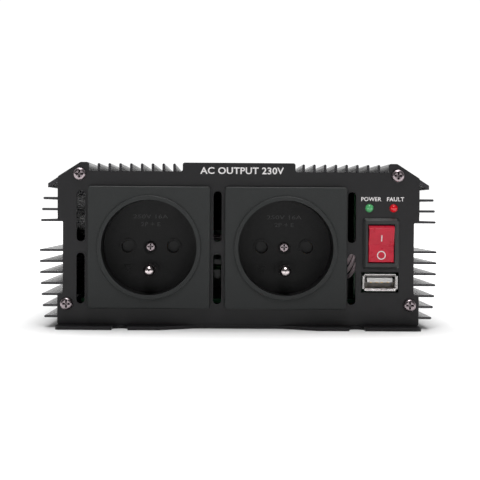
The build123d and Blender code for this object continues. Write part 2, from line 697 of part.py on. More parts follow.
def earth_pin():
    tip = PLATE_T - EARTH_PIN_SINK
    pin = disc(EARTH_PIN_R, BLOCK_FRONT, tip - EARTH_PIN_R) + Pos(0, 0, tip - EARTH_PIN_R) \
        * Sphere(EARTH_PIN_R)
    pin += disc(EARTH_FLANGE_R, BLOCK_FRONT - EARTH_FLANGE_T, BLOCK_FRONT)
    pin += disc(EARTH_TAIL_R, TAIL_BACK, BLOCK_FRONT)
    return Pos(0, -EARTH_PIN_DROP, 0) * pin


def socket_screw():
    seat = FLOOR_OUT - CENTRE_RECESS_DEPTH
    length = seat - BLOCK_BACK - 2.0
    return Pos(0, 0, seat) * pan_screw(CENTRE_HEAD_R, CENTRE_HEAD_H, CENTRE_SHANK_R, length)


def clamp_block():
    """Insulator drawn up behind the cup by the centre screw; its arms press on the panel's back."""
    body = disc(BLOCK_R, BLOCK_BACK, BLOCK_FRONT)
    arm_in = CUP_R + CUP_HOLE_GAP
    for side in (-1, 1):
        reach = sorted((side * (BLOCK_R - 3.0), side * (arm_in + ARM_W)))
        body += block(reach, (-ARM_H / 2, ARM_H / 2), (BLOCK_BACK, FLOOR_BACK - 3.0))
        post = sorted((side * arm_in, side * (arm_in + ARM_W)))
        body += block(post, (-ARM_H / 2, ARM_H / 2), (BLOCK_BACK, -PANEL_T))
    for side in (-1, 1):
        x = side * PIN_PITCH / 2
        body -= disc(CONTACT_R + SOCKET_GAP, CONTACT_BACK - SOCKET_GAP, BLOCK_FRONT, x)
        body -= centred((TAIL_W + 2 * SOCKET_GAP, TAIL_H + 2 * SOCKET_GAP), BLOCK_BACK,
                        CONTACT_BACK, x)
    body -= disc(CENTRE_SHANK_R + THREAD_GAP, BLOCK_BACK, BLOCK_FRONT)
    body -= disc(EARTH_FLANGE_R + SOCKET_GAP, BLOCK_FRONT - EARTH_FLANGE_T - SOCKET_GAP,
                 BLOCK_FRONT, 0, -EARTH_PIN_DROP)
    return body - disc(EARTH_TAIL_R + SOCKET_GAP, BLOCK_BACK, BLOCK_FRONT, 0, -EARTH_PIN_DROP)


def socket_contacts():
    """Two slit sleeves that grip the plug's pins, each with a tail for the wires."""
    sleeve = disc(CONTACT_R, CONTACT_BACK, CONTACT_FRONT)
    sleeve -= disc(CONTACT_BORE_R, CONTACT_BACK + 1.0, CONTACT_FRONT)
    sleeve -= block((-CONTACT_SLIT_W / 2, CONTACT_SLIT_W / 2), (-CONTACT_R, CONTACT_R),
                    (CONTACT_BACK + 2.5, CONTACT_FRONT))
    sleeve += centred((TAIL_W, TAIL_H), TAIL_BACK, CONTACT_BACK)
    return group([Pos(side * PIN_PITCH / 2, 0, 0) * sleeve for side in (-1, 1)])


def at_sockets(part):
    """The same piece at each outlet."""
    return group([on_front(part, x, SOCKET_Z) for x in (LEFT_SOCKET_X, RIGHT_SOCKET_X)])


# ---- Rocker switch, built about its pivot's place on the panel ----

def switch_housing():
    bezel = centred((BEZEL_W, BEZEL_H), 0, BEZEL_T, corner=1.2)
    bezel = chamfer(top_edges(bezel), BEZEL_CHAMFER)
    body = bezel + centred((SWITCH_BODY_W, SWITCH_BODY_H), -SWITCH_BODY_DEPTH, 0)
    window = (ROCKER_W + 2 * ROCKER_GAP, 2 * (ROCKER_ARC_R + ROCKER_GAP))
    body -= centred(window, -SWITCH_BODY_DEPTH + SWITCH_WALL, BEZEL_T)
    body -= centred((SWITCH_BODY_W - 2 * SWITCH_WALL, SWITCH_BODY_H - 2 * SWITCH_WALL),
                    -SWITCH_BODY_DEPTH + SWITCH_WALL, -PIVOT_DEPTH - 2.5)
    stub = ROCKER_W / 2 + PIVOT_STUB + ROCKER_GAP
    body -= Pos(0, 0, -PIVOT_DEPTH) * Rot(0, 90, 0) * Cylinder(PIVOT_R + PIVOT_GAP, 2 * stub)
    slot = (BLADE_W + 2 * SOCKET_GAP, BLADE_T + 2 * SOCKET_GAP)
    low = -SWITCH_BODY_DEPTH
    return body - [centred(slot, low, low + SWITCH_WALL, 0, y) for y in BLADE_Z]


def rocker_at_middle():
    """Rocker in its middle position: two faces that rise to the ends, which are arcs."""
    end_y = sqrt(ROCKER_ARC_R ** 2 - ROCKER_END_RISE ** 2)
    low_y = sqrt(ROCKER_ARC_R ** 2 - ROCKER_UNDER ** 2)
    top = Polyline((end_y, ROCKER_END_RISE), (0, ROCKER_MID_RISE), (-end_y, ROCKER_END_RISE))
    far = ThreePointArc((-end_y, ROCKER_END_RISE), (-ROCKER_ARC_R, 0), (-low_y, -ROCKER_UNDER))
    under = Line((-low_y, -ROCKER_UNDER), (low_y, -ROCKER_UNDER))
    near = ThreePointArc((low_y, -ROCKER_UNDER), (ROCKER_ARC_R, 0), (end_y, ROCKER_END_RISE))
    section = make_face([top, far, under, near])
    body = extrude(Plane.YZ * section, ROCKER_W / 2, both=True)
    ends = [edge for edge in body.edges() if edge.center().Z > ROCKER_MID_RISE + 0.1]
    body = fillet(ends, 0.4)
    cam = ROCKER_W / 2 - 2.0
    body += block((-cam, cam), (-CAM_SIZE / 2, CAM_SIZE / 2), (-CAM_DROP, 0))
    return body + Rot(0, 90, 0) * Cylinder(PIVOT_R, ROCKER_W + 2 * PIVOT_STUB)


def switch_rocker():
    """Rocker switched off: its lower end pressed in, its upper end out."""
    return Pos(0, 0, -PIVOT_DEPTH) * Rot(ROCKER_TILT, 0, 0) * rocker_at_middle()


def switch_terminals():
    out = -SWITCH_BODY_DEPTH
    blade = centred((BLADE_W, BLADE_T), out - BLADE_LENGTH, out + 2.0)
    return group([Pos(0, y, 0) * blade for y in BLADE_Z])


# ---- Indicators and USB outlet ----

def led():
    """Domed lamp with the flange behind the panel and two leads back to the small board."""
    low = LED_RISE - LED_LENGTH
    body = disc(LED_R, low, LED_RISE - LED_R)
    body += Pos(0, 0, LED_RISE - LED_R) * Sphere(LED_R)
    body += disc(LED_FLANGE_R, low, -PANEL_T - 0.2)
    return body + [centred((LEAD_SIZE, LEAD_SIZE), -FRONT_BOARD_DEPTH, low, side * LEAD_PITCH / 2)
                   for side in (-1, 1)]


def usb_shell():
    """Folded shell, open at the front, with four flared lips."""
    outer = centred((USB_W, USB_H), -FRONT_BOARD_DEPTH, USB_RISE)
    inner = (USB_W - 2 * USB_WALL, USB_H - 2 * USB_WALL)
    wide = 2 * USB_FLARE
    front = USB_RISE + USB_FLARE
    flare = loft([Pos(0, 0, USB_RISE) * Rectangle(USB_W, USB_H),
                  Pos(0, 0, front) * Rectangle(USB_W + wide, USB_H + wide)])
    throat = loft([Pos(0, 0, USB_RISE) * Rectangle(*inner),
                   Pos(0, 0, front) * Rectangle(inner[0] + wide, inner[1] + wide)])
    shell = outer + flare - throat
    shell -= centred(inner, -FRONT_BOARD_DEPTH + USB_WALL, USB_RISE)
    slits = [centred((USB_SLIT, USB_SLIT), USB_RISE, front, sx * (USB_W / 2 + USB_SLIT / 3),
                     sy * (USB_H / 2 + USB_SLIT / 3)) for sx in (-1, 1) for sy in (-1, 1)]
    return shell - slits


def usb_tongue():
    """White tongue on its plastic root, which fills the shell's back end."""
    back = -FRONT_BOARD_DEPTH + USB_WALL
    root = (USB_W - 2 * USB_WALL, USB_H - 2 * USB_WALL)
    body = centred(root, back, back + USB_ROOT_T)
    return body + centred((TONGUE_W, TONGUE_T), back, USB_RISE - 1.0, 0, TONGUE_RISE)


def usb_contacts():
    under = TONGUE_RISE - TONGUE_T / 2
    strip = block((-USB_CONTACT_W / 2, USB_CONTACT_W / 2), (under - USB_CONTACT_T, under),
                  (USB_RISE - TONGUE_DEPTH, USB_RISE - 1.8))
    return group([Pos(x, 0, 0) * strip for x in USB_CONTACT_PITCHES])


def front_board():
    """Small board behind the controls, with a window for the switch's terminals."""
    back = -FRONT_BOARD_DEPTH - BOARD_T
    window = (SWITCH_BODY_W + 1.0, SWITCH_BODY_H - 2.0)
    board = centred(FRONT_BOARD_SIZE, back, -FRONT_BOARD_DEPTH)
    board -= centred(window, back, -FRONT_BOARD_DEPTH, SWITCH_X - FRONT_BOARD_X,
                     SWITCH_Z - FRONT_BOARD_Z)
    return on_front(board, FRONT_BOARD_X, FRONT_BOARD_Z)


# ---- Boards and what stands on them ----

def standoff_places():
    return [(side * STANDOFF_X, y) for side in (-1, 1) for y in STANDOFF_YS]


def on_board(part, place):
    """Stand a piece on the main board's top face."""
    return Pos(place[0], place[1], BOARD_TOP_Z) * part


def main_board():
    board = block((-BOARD_HALF_W, BOARD_HALF_W), BOARD_YS, (BOARD_UNDER_Z, BOARD_TOP_Z))
    hole = disc(SCREW_R + CLEARANCE_GAP, BOARD_UNDER_Z, BOARD_TOP_Z)
    return board - [Pos(x, y, 0) * hole for x, y in standoff_places()]


def standoffs():
    post = extrude(RegularPolygon(STANDOFF_R, 6), STANDOFF_H) - disc(TAPPED_R, 0, STANDOFF_H)
    return group([Pos(x, y, BASE_T) * post for x, y in standoff_places()])


def standoff_screws():
    screw = flat_screw(FLAT_HEAD_R, SCREW_R, BASE_T + STANDOFF_H / 2 - 0.5)
    return group([Pos(x, y, FLUSH_GAP) * screw for x, y in standoff_places()])


def board_screws():
    screw = pan_screw(SCREW_HEAD_R, SCREW_HEAD_H, SCREW_R, BOARD_T + STANDOFF_H / 2 - 0.5)
    return group([on_board(screw, place) for place in standoff_places()])


def transformer_cores():
    """Ferrite cores: a yoke above and below, an outer leg each side and one in the middle."""
    width, depth, height = CORE_SIZE
    low = CORE_STAND
    core = centred((width, depth), low, low + height)
    window_w = (width - CORE_LEG_W) / 2 - CORE_YOKE
    window_x = (CORE_LEG_W + window_w) / 2
    for side in (-1, 1):
        core -= centred((window_w, depth), low + CORE_YOKE, low + height - CORE_YOKE,
                        side * window_x)
    return group([on_board(core, (side * CORE_X, CORE_Y)) for side in (-1, 1)])


def transformer_windings():
    """Windings about the middle legs, proud of the cores at front and back."""
    width, depth, height = CORE_SIZE
    low = CORE_STAND + CORE_YOKE + WINDING_GAP
    high = CORE_STAND + height - CORE_YOKE - WINDING_GAP
    turns = (width - CORE_LEG_W) / 2 - CORE_YOKE - WINDING_GAP
    outer = (CORE_LEG_W + 2 * turns, depth + 2 * turns)
    coil = centred(outer, low, high, corner=3.0)
    coil -= centred((CORE_LEG_W + 2 * WINDING_GAP, depth + 2 * WINDING_GAP), low, high)
    return group([on_board(coil, (side * CORE_X, CORE_Y)) for side in (-1, 1)])


def choke_ring(extra, sweep_angle):
    """Ring with the choke's section, grown by extra on every side."""
    inner, outer = CHOKE_R
    section = flat((inner - extra, outer + extra), (CHOKE_STAND - extra,
                                                    CHOKE_STAND + CHOKE_H + extra))
    return revolve(Plane.XZ * section, Axis.Z, sweep_angle)


def choke_core():
    return on_board(choke_ring(0, 360), CHOKE_PLACE)


def choke_winding():
    winding = choke_ring(CHOKE_WIRE_T, 300) - choke_ring(0, 360)
    return on_board(winding, CHOKE_PLACE)


def capacitors(radius, height, places):
    can = fillet(top_edges(disc(radius, 0, height)), 1.0)
    can -= disc(radius - 2.0, height - 0.4, height)
    return group([on_board(can, place) for place in places])


def fuses():
    """Blade fuses, each in its low holder."""
    fuse = centred(FUSE_SIZE[:2], 0, FUSE_SIZE[2])
    fuse -= centred((FUSE_SIZE[0] - 2.0, FUSE_SIZE[1] - 8.0), FUSE_SIZE[2] - 3.0, FUSE_SIZE[2])
    return group([on_board(fuse, place) for place in FUSE_PLACES])


def buzzer():
    can = fillet(top_edges(disc(BUZZER_R, 0, BUZZER_H)), 0.8)
    return on_board(can - disc(1.0, BUZZER_H - 2.0, BUZZER_H), BUZZER_PLACE)


def driver_board():
    width, height = DRIVER_SIZE
    return on_board(centred((width, BOARD_T), 0, height), (0, DRIVER_Y))


def chip_ys():
    return [CHIP_PITCH * (i - (CHIP_COUNT - 1) / 2) for i in range(CHIP_COUNT)]


def bar_screw_ys():
    """Clamp-bar screws stand between transistors."""
    return [-2 * CHIP_PITCH, 0.0, 2 * CHIP_PITCH]


def bar_z():
    return BOARD_TOP_Z + CHIP_STAND + CHIP_SIZE[2] / 2


def across(side, near, far):
    """Limits in X from the wall's inner face inwards, on either side of the case."""
    return sorted((side * (WALL_IN_X - near), side * (WALL_IN_X - far)))


def transistor_row(side):
    """Row of transistors against a side wall, their leads down on the board."""
    low = BOARD_TOP_Z + CHIP_STAND
    pieces = []
    for y in chip_ys():
        half = CHIP_SIZE[1] / 2
        chip = block(across(side, PAD_T, PAD_T + CHIP_SIZE[0]), (y - half, y + half),
                     (low, low + CHIP_SIZE[2]))
        inset = PAD_T + CHIP_LEAD_INSET
        for shift in (-LEAD_PITCH, 0, LEAD_PITCH):
            chip += block(across(side, inset, inset + LEAD_SIZE),
                          (y + shift - LEAD_SIZE / 2, y + shift + LEAD_SIZE / 2),
                          (BOARD_TOP_Z, low))
        pieces.append(chip)
    return pieces


def insulating_pad(side):
    low = BOARD_TOP_Z + CHIP_STAND - PAD_MARGIN
    high = low + CHIP_SIZE[2] + 2 * PAD_MARGIN
    reach = CHIP_PITCH * (CHIP_COUNT - 1) / 2 + CHIP_SIZE[1] / 2 + PAD_MARGIN
    pad = block(across(side, 0, PAD_T), (-reach, reach), (low, high))
    return pad - [Pos(side * (WALL_IN_X - PAD_T / 2), y, bar_z()) * Rot(0, 90, 0)
                  * Cylinder(SCREW_R + CLEARANCE_GAP, PAD_T) for y in bar_screw_ys()]


def clamp_bar(side):
    near = PAD_T + CHIP_SIZE[0]
    reach = CHIP_PITCH * (CHIP_COUNT - 1) / 2 + CHIP_SIZE[1] / 2
    bar = block(across(side, near, near + BAR_T), (-reach, reach),
                (bar_z() - BAR_H / 2, bar_z() + BAR_H / 2))
    middle = side * (WALL_IN_X - near - BAR_T / 2)
    return bar - [Pos(middle, y, bar_z()) * Rot(0, 90, 0)
                  * Cylinder(SCREW_R + CLEARANCE_GAP, BAR_T) for y in bar_screw_ys()]


def clamp_bar_screws():
    seat = PAD_T + CHIP_SIZE[0] + BAR_T
    screw = pan_screw(SCREW_HEAD_R, SCREW_HEAD_H, SCREW_R, seat + WALL_T - 0.6)
    return group([Pos(side * (WALL_IN_X - seat), y, bar_z()) * Rot(0, -90 * side, 0) * screw
                  for side in (-1, 1) for y in bar_screw_ys()])


# ---- Fan, built about its axis with +Z out of the case ----

def fan_corners():
    reach = FAN_HOLE_PITCH / 2
    return [(sx * reach, sy * reach) for sx in (-1, 1) for sy in (-1, 1)]


def fan_frame():
    """Square duct with four struts that carry the motor's cup on the inner side."""
    back = -PANEL_T - FAN_T
    frame = centred((FAN_SIZE, FAN_SIZE), back, -PANEL_T, corner=FAN_CORNER_R)
    frame -= disc(FAN_BORE_R, back, -PANEL_T)
    strut = block((FAN_HUB_R - 1.0, FAN_BORE_R + 0.5), (-FAN_STRUT_W / 2, FAN_STRUT_W / 2),
                  (back, back + FAN_STRUT_T))
    frame += [Rot(0, 0, 45 + 90 * i) * strut for i in range(4)]
    frame += disc(FAN_HUB_R, back, back + FAN_STRUT_T)
    frame += disc(BUSH_R + FAN_BEARING_WALL, back, back + FAN_BEARING_H)
    frame -= disc(BUSH_R + SHAFT_GAP, back, back + FAN_BEARING_H)
    return frame - [disc(FAN_SCREW_R + CLEARANCE_GAP, back, -PANEL_T, x, y)
                    for x, y in fan_corners()]


def fan_bush():
    back = -PANEL_T - FAN_T
    return disc(BUSH_R, back, back + FAN_BEARING_H) \
        - disc(SHAFT_R + SHAFT_GAP, back, back + FAN_BEARING_H)


def fan_rotor():
    """Hub shell, shaft and pitched blades."""
    low = -PANEL_T - FAN_T + FAN_STRUT_T + ROTOR_AXIAL_GAP
    high = -PANEL_T - ROTOR_AXIAL_GAP
    tip_r = FAN_BORE_R - ROTOR_TIP_GAP
    hub = fillet(top_edges(disc(FAN_HUB_R, low, high)), 1.0)
    chord = (high - low) / sin(radians(ROTOR_BLADE_PITCH)) + 2.0
    middle = (low + high) / 2
    length = tip_r - FAN_HUB_R + 3.0
    blade = Pos(FAN_HUB_R - 1.0 + length / 2, 0, middle) * Rot(90 - ROTOR_BLADE_PITCH, 0, 0) \
        * Box(length, ROTOR_BLADE_T, chord)
    blade = blade & disc(tip_r, low, high)
    rotor = hub + [Rot(0, 0, 360 / ROTOR_BLADES * i) * blade for i in range(ROTOR_BLADES)]
    rotor -= disc(FAN_HUB_R - FAN_HUB_WALL, low, high - ROTOR_FACE_T)
    return rotor + disc(SHAFT_R, low - ROTOR_AXIAL_GAP, high - 1.0)


def fan_guard():
    """Rings of round wire welded over four legs, with an eye at each screw."""
    leg_z = GUARD_EYE_T / 2
    ring_z = leg_z + GUARD_RING_RISE
    reach = FAN_HOLE_PITCH / sqrt(2) - (GUARD_EYE_R + FAN_SCREW_R + CLEARANCE_GAP) / 2
    leg = Pos(reach / 2, 0, leg_z) * Rot(0, 90, 0) * Cylinder(GUARD_WIRE_R, reach)
    guard = disc(GUARD_RINGS[0], leg_z, ring_z)
    guard += [Rot(0, 0, 45 + 90 * i) * leg for i in range(4)]
    guard += [disc(GUARD_EYE_R, 0, GUARD_EYE_T, x, y) for x, y in fan_corners()]
    guard += [Pos(0, 0, ring_z) * Torus(radius, GUARD_WIRE_R) for radius in GUARD_RINGS[1:]]
    return guard - [disc(FAN_SCREW_R + CLEARANCE_GAP, 0, GUARD_EYE_T, x, y)
                    for x, y in fan_corners()]


def fan_screws():
    screw = pan_screw(FAN_HEAD_R, FAN_HEAD_H, FAN_SCREW_R,
                      GUARD_EYE_T + PANEL_T + FAN_T + NUT_H)
    return group([Pos(x, y, GUARD_EYE_T) * screw for x, y in fan_corners()])


def fan_nuts():
    back = -PANEL_T - FAN_T - NUT_H
    nut = hex_nut(2 * FAN_SCREW_R, NUT_H, FAN_SCREW_R + THREAD_GAP)
    return group([Pos(x, y, back) * nut for x, y in fan_corners()])


# ---- Battery terminals, built about the stud with +Z out of the case ----

def terminal_bushing():
    """Flanged insulator through the panel, with a seat for the washer."""
    bushing = disc(BUSHING_R, 0, BUSHING_T) + disc(BUSHING_NECK_R, NECK_BACK, 0)
    bushing = fillet(top_edges(bushing), 0.8)
    bushing -= disc(BUSHING_SEAT_R, WASHER_OUT, BUSHING_T)
    return bushing - disc(STUD_R + THREAD_GAP, NECK_BACK, BUSHING_T)


def terminal_stud():
    stud = disc(STUD_R, -STUD_IN, STUD_OUT)
    return chamfer(stud.edges().filter_by(GeomType.CIRCLE), 0.6)


def terminal_washer():
    return disc(WASHER_R, WASHER_OUT, WASHER_OUT + WASHER_T) \
        - disc(STUD_R + KNOB_BORE_GAP, WASHER_OUT, WASHER_OUT + WASHER_T)


def terminal_knob():
    """Fluted knob with a blind bore over the stud."""
    high = KNOB_OUT + KNOB_LENGTH
    knob = fillet(top_edges(disc(KNOB_R, KNOB_OUT, high)), 2.0)
    groove = disc(KNOB_FLUTE_R, KNOB_OUT + 2.0, high, KNOB_R + KNOB_FLUTE_R * 0.4)
    knob -= [Rot(0, 0, 360 / KNOB_FLUTES * i) * groove for i in range(KNOB_FLUTES)]
    return knob - disc(STUD_R + KNOB_BORE_GAP, KNOB_OUT, STUD_OUT + KNOB_CAVITY_SPARE)


def terminal_nuts():
    """Inside the case: one nut behind each bushing."""
    back = NECK_BACK - STUD_NUT_T
    nut = hex_nut(STUD_NUT_R, STUD_NUT_T, STUD_R + THREAD_GAP)
    return group([on_rear(nut, x, TERMINAL_Z, back) for x in TERMINAL_XS])


def terminal_lugs():
    """Inside the case: an angled ring lug on each stud, with a barrel for its lead."""
    barrel_r = LEAD_WIRE_R + LUG_BARREL_WALL
    lug = disc(LUG_R, LUG_BACK, LUG_BACK + LUG_T)
    lug += block((-barrel_r, barrel_r), (0, LUG_RISE), (LUG_BACK, LUG_BACK + LUG_T))
    lug += disc(barrel_r, LUG_BACK - LUG_BARREL, LUG_BACK + LUG_T, 0, LUG_RISE)
    lug -= disc(STUD_R + THREAD_GAP, LUG_BACK, LUG_BACK + LUG_T)
    return group([on_rear(lug, x, TERMINAL_Z) for x in TERMINAL_XS])


def earth_screw():
    """Screw for the earth lead, with the washer made in one with its head."""
    screw = pan_screw(FAN_HEAD_R, FAN_HEAD_H, EARTH_SCREW_R,
                      EARTH_WASHER_T + PANEL_T + EARTH_SCREW_REACH)
    screw = Pos(0, 0, EARTH_WASHER_T) * screw + disc(EARTH_WASHER_R, 0, EARTH_WASHER_T)
    return on_rear(screw, EARTH_SCREW_X, EARTH_SCREW_Z)


# ---- Wires ----

def mains_links():
    """Line and neutral wires from one outlet's tails to the other's."""
    back_y = TAIL_Y + LINK_REACH
    pieces = []
    for pin, level in ((-PIN_PITCH / 2, TAIL_LEVELS[2]), (PIN_PITCH / 2, TAIL_LEVELS[1])):
        near = LEFT_SOCKET_X + pin
        far = RIGHT_SOCKET_X + pin
        z = SOCKET_Z + level
        pieces.append(wire([(near, TAIL_Y, z), (near, back_y, z), (far, back_y, z),
                            (far, TAIL_Y, z)], MAINS_WIRE_R))
    return pieces


def mains_feeds():
    """Line and neutral up from the main board to the right-hand outlet."""
    z = SOCKET_Z + TAIL_LEVELS[0]
    back_y = TAIL_Y + FEED_REACH
    return [wire([(x, TAIL_Y, z), (x, back_y, z), (x, back_y, BOARD_TOP_Z)], MAINS_WIRE_R)
            for x in (RIGHT_SOCKET_X - PIN_PITCH / 2, RIGHT_SOCKET_X + PIN_PITCH / 2)]


def earth_link():
    """Earth carried from one outlet's pin to the other's."""
    z = SOCKET_Z - EARTH_PIN_DROP
    back_y = TAIL_Y + EARTH_REACH
    return wire([(LEFT_SOCKET_X, TAIL_Y, z), (LEFT_SOCKET_X, back_y, z),
                 (RIGHT_SOCKET_X, back_y, z), (RIGHT_SOCKET_X, TAIL_Y, z)], MAINS_WIRE_R)


def front_board_wires():
    """Wires from the small board, looped forward behind the last vents, down to the main board."""
    x = FRONT_BOARD_X - FRONT_BOARD_SIZE[0] / 2 + FRONT_WIRE_SET_IN
    y = -FACE_Y + FRONT_BOARD_DEPTH
    foot_y = BOARD_YS[0] + FRONT_WIRE_FOOT
    pieces = []
    for i in range(3):
        z = FRONT_BOARD_Z + FRONT_WIRE_LOW + FRONT_WIRE_PITCH * i
        loop_z = z - FRONT_WIRE_DROP - FRONT_WIRE_FALL * i
        foot_x = LAST_SLOT_X - FRONT_FOOT_PITCH * (i + 1)
        pieces.append(wire([(x, y, z), (x, y - FRONT_WIRE_REACH, z),
                            (LAST_SLOT_X + FRONT_WIRE_SHIFT - i, y - FRONT_LOOP_REACH, loop_z),
                            (foot_x, foot_y, BOARD_TOP_Z + FRONT_FOOT_RISE + FRONT_FOOT_STEP * i),
                            (foot_x, foot_y, BOARD_TOP_Z)], CONTROL_WIRE_R))
    return pieces


def switch_wires():
    """Two wires from the switch's blades down to the main board."""
    y = -FACE_Y + SWITCH_BODY_DEPTH + BLADE_LENGTH
    pieces = []
    for low, shift, reach in zip(BLADE_Z, SWITCH_WIRE_SHIFTS, SWITCH_WIRE_REACHES):
        x = SWITCH_X + shift
        z = SWITCH_Z + low
        pieces.append(wire([(x, y, z), (x, y + reach, z), (x, y + reach, BOARD_TOP_Z)],
                           CONTROL_WIRE_R))
    return pieces


def battery_lead(x):
    """Thick lead from the lug's barrel to the main board."""
    y = FACE_Y + LUG_BACK - LUG_BARREL
    z = TERMINAL_Z + LUG_RISE
    return wire([(x, y, z), (x, y - LEAD_REACH, z), (x, y - LEAD_REACH, BOARD_TOP_Z)],
                LEAD_WIRE_R)


def fan_wires():
    """Two wires from the fan's motor cup to the main board."""
    y = END_Y - FAN_T
    z = FAN_Z - FAN_HUB_R / 2
    return group([wire([(x, y, z), (x, y - FAN_WIRE_REACH, z),
                        (x, y - FAN_WIRE_REACH, BOARD_TOP_Z)], CONTROL_WIRE_R)
                  for x in (FAN_X - FAN_WIRE_SHIFT, FAN_X + FAN_WIRE_SHIFT)])


# ---- All the nodes ----

nodes = {
    "heatsink_shell": heatsink_shell(),
    "base_plate": base_plate(),
    "front_panel": front_panel(),
    "rear_panel": rear_panel(),
    "panel_screws": panel_screws(),
    "base_plate_screws": base_plate_screws(),
    "left_socket_body": on_front(socket_body(), LEFT_SOCKET_X, SOCKET_Z),
    "right_socket_body": on_front(socket_body(), RIGHT_SOCKET_X, SOCKET_Z),
    "earth_pins": at_sockets(earth_pin()),
    "socket_screws": at_sockets(socket_screw()),
    "clamp_blocks": at_sockets(clamp_block()),
    "socket_contacts": at_sockets(socket_contacts()),
    "switch_housing": on_front(switch_housing(), SWITCH_X, SWITCH_Z),
    "switch_rocker": on_front(switch_rocker(), SWITCH_X, SWITCH_Z),
    "switch_terminals": on_front(switch_terminals(), SWITCH_X, SWITCH_Z),
    "power_led": on_front(led(), LED_XS[0], LED_Z),
    "fault_led": on_front(led(), LED_XS[1], LED_Z),
    "usb_shell": on_front(usb_shell(), USB_X, USB_Z),
    "usb_tongue": on_front(usb_tongue(), USB_X, USB_Z),
    "usb_contacts": on_front(usb_contacts(), USB_X, USB_Z),
    "front_board": front_board(),
    "main_board": main_board(),
    "standoffs": standoffs(),
    "standoff_screws": standoff_screws(),
    "board_screws": board_screws(),
    "transformer_cores": transformer_cores(),
    "transformer_windings": transformer_windings(),
    "choke_core": choke_core(),
    "choke_winding": choke_winding(),
    "output_capacitors": capacitors(OUTPUT_CAP_R, OUTPUT_CAP_H, OUTPUT_CAP_PLACES),
    "input_capacitors": capacitors(INPUT_CAP_R, INPUT_CAP_H, INPUT_CAP_PLACES),
    "fuses": fuses(),
    "buzzer": buzzer(),
    "driver_board": driver_board(),
    "transistors": group(transistor_row(-1) + transistor_row(1)),
    "insulating_pads": group([insulating_pad(-1), insulating_pad(1)]),
    "clamp_bars": group([clamp_bar(-1), clamp_bar(1)]),
    "clamp_bar_screws": clamp_bar_screws(),
    "fan_frame": on_rear(fan_frame(), FAN_X, FAN_Z),
    "fan_bush": on_rear(fan_bush(), FAN_X, FAN_Z),
    "fan_rotor": on_rear(fan_rotor(), FAN_X, FAN_Z),
    "fan_guard": on_rear(fan_guard(), FAN_X, FAN_Z),
    "fan_screws": on_rear(fan_screws(), FAN_X, FAN_Z),
    "fan_nuts": on_rear(fan_nuts(), FAN_X, FAN_Z),
    "terminal_studs": group([on_rear(terminal_stud(), x, TERMINAL_Z) for x in TERMINAL_XS]),
    "terminal_nuts": terminal_nuts(),
    "terminal_lugs": terminal_lugs(),
    "earth_screw": earth_screw(),
    "mains_wires": group(mains_links() + mains_feeds()),
    "earth_link": earth_link(),
    "control_wires": group(front_board_wires() + switch_wires()),
    "fan_wires": fan_wires(),
}
for name, x in zip(("positive", "negative"), TERMINAL_XS):
    nodes[name + "_bushing"] = on_rear(terminal_bushing(), x, TERMINAL_Z)
    nodes[name + "_washer"] = on_rear(terminal_washer(), x, TERMINAL_Z)
    nodes[name + "_knob"] = on_rear(terminal_knob(), x, TERMINAL_Z)
    nodes[name + "_lead"] = battery_lead(x)

os.makedirs("parts", exist_ok=True)
for name, piece in nodes.items():
    export_step(piece, f"parts/{name}.step")
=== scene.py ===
import bpy
import json
from math import cos, pi, radians, sin
from mathutils import Matrix, Vector


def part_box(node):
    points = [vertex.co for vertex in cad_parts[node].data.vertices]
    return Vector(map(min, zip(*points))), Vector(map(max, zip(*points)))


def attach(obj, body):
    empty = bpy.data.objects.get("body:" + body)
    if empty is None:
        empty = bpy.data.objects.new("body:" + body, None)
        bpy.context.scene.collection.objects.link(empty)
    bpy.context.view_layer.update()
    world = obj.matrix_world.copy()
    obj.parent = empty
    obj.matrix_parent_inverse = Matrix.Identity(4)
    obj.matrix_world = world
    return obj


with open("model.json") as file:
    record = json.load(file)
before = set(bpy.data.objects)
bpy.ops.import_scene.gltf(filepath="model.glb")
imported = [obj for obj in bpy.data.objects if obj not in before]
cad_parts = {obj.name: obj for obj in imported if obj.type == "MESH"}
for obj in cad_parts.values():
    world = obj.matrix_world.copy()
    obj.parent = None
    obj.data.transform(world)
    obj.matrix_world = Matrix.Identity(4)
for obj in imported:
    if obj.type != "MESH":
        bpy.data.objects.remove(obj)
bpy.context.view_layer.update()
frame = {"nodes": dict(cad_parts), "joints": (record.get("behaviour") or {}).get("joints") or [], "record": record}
MM = 0.001


# ---- Extruded case ----
# One length of aluminium pushed through a die, so every fin and wall carries faint lines along
# its length. It is dyed black in the anodising bath, which leaves a satin film over the metal.

def linear(hex_code):
    """sRGB hex to the linear colour that a shader takes."""
    parts = [int(hex_code[i:i + 2], 16) / 255 for i in (1, 3, 5)]
    return [p / 12.92 if p <= 0.04045 else ((p + 0.055) / 1.055) ** 2.4 for p in parts] + [1.0]


def add_node(material, kind, settings=None, links=None):
    """Adds a node, with its settings by name and its links by socket."""
    node = material.node_tree.nodes.new(kind)
    for name, value in (settings or {}).items():
        if name in node.inputs:
            node.inputs[name].default_value = value
        else:
            setattr(node, name, value)
    for socket, source in (links or {}).items():
        material.node_tree.links.new(source, node.inputs[socket])
    return node


def new_finish(name, hex_code, roughness, metallic=0.0, **sockets):
    """A material with its uniform values on the shader's own sockets."""
    material = bpy.data.materials.new(name)
    material.use_nodes = True
    shader = material.node_tree.nodes["Principled BSDF"]
    shader.inputs["Base Color"].default_value = linear(hex_code)
    shader.inputs["Roughness"].default_value = roughness
    shader.inputs["Metallic"].default_value = metallic
    for socket, value in sockets.items():
        shader.inputs[socket.replace("_", " ")].default_value = value
    return material, shader


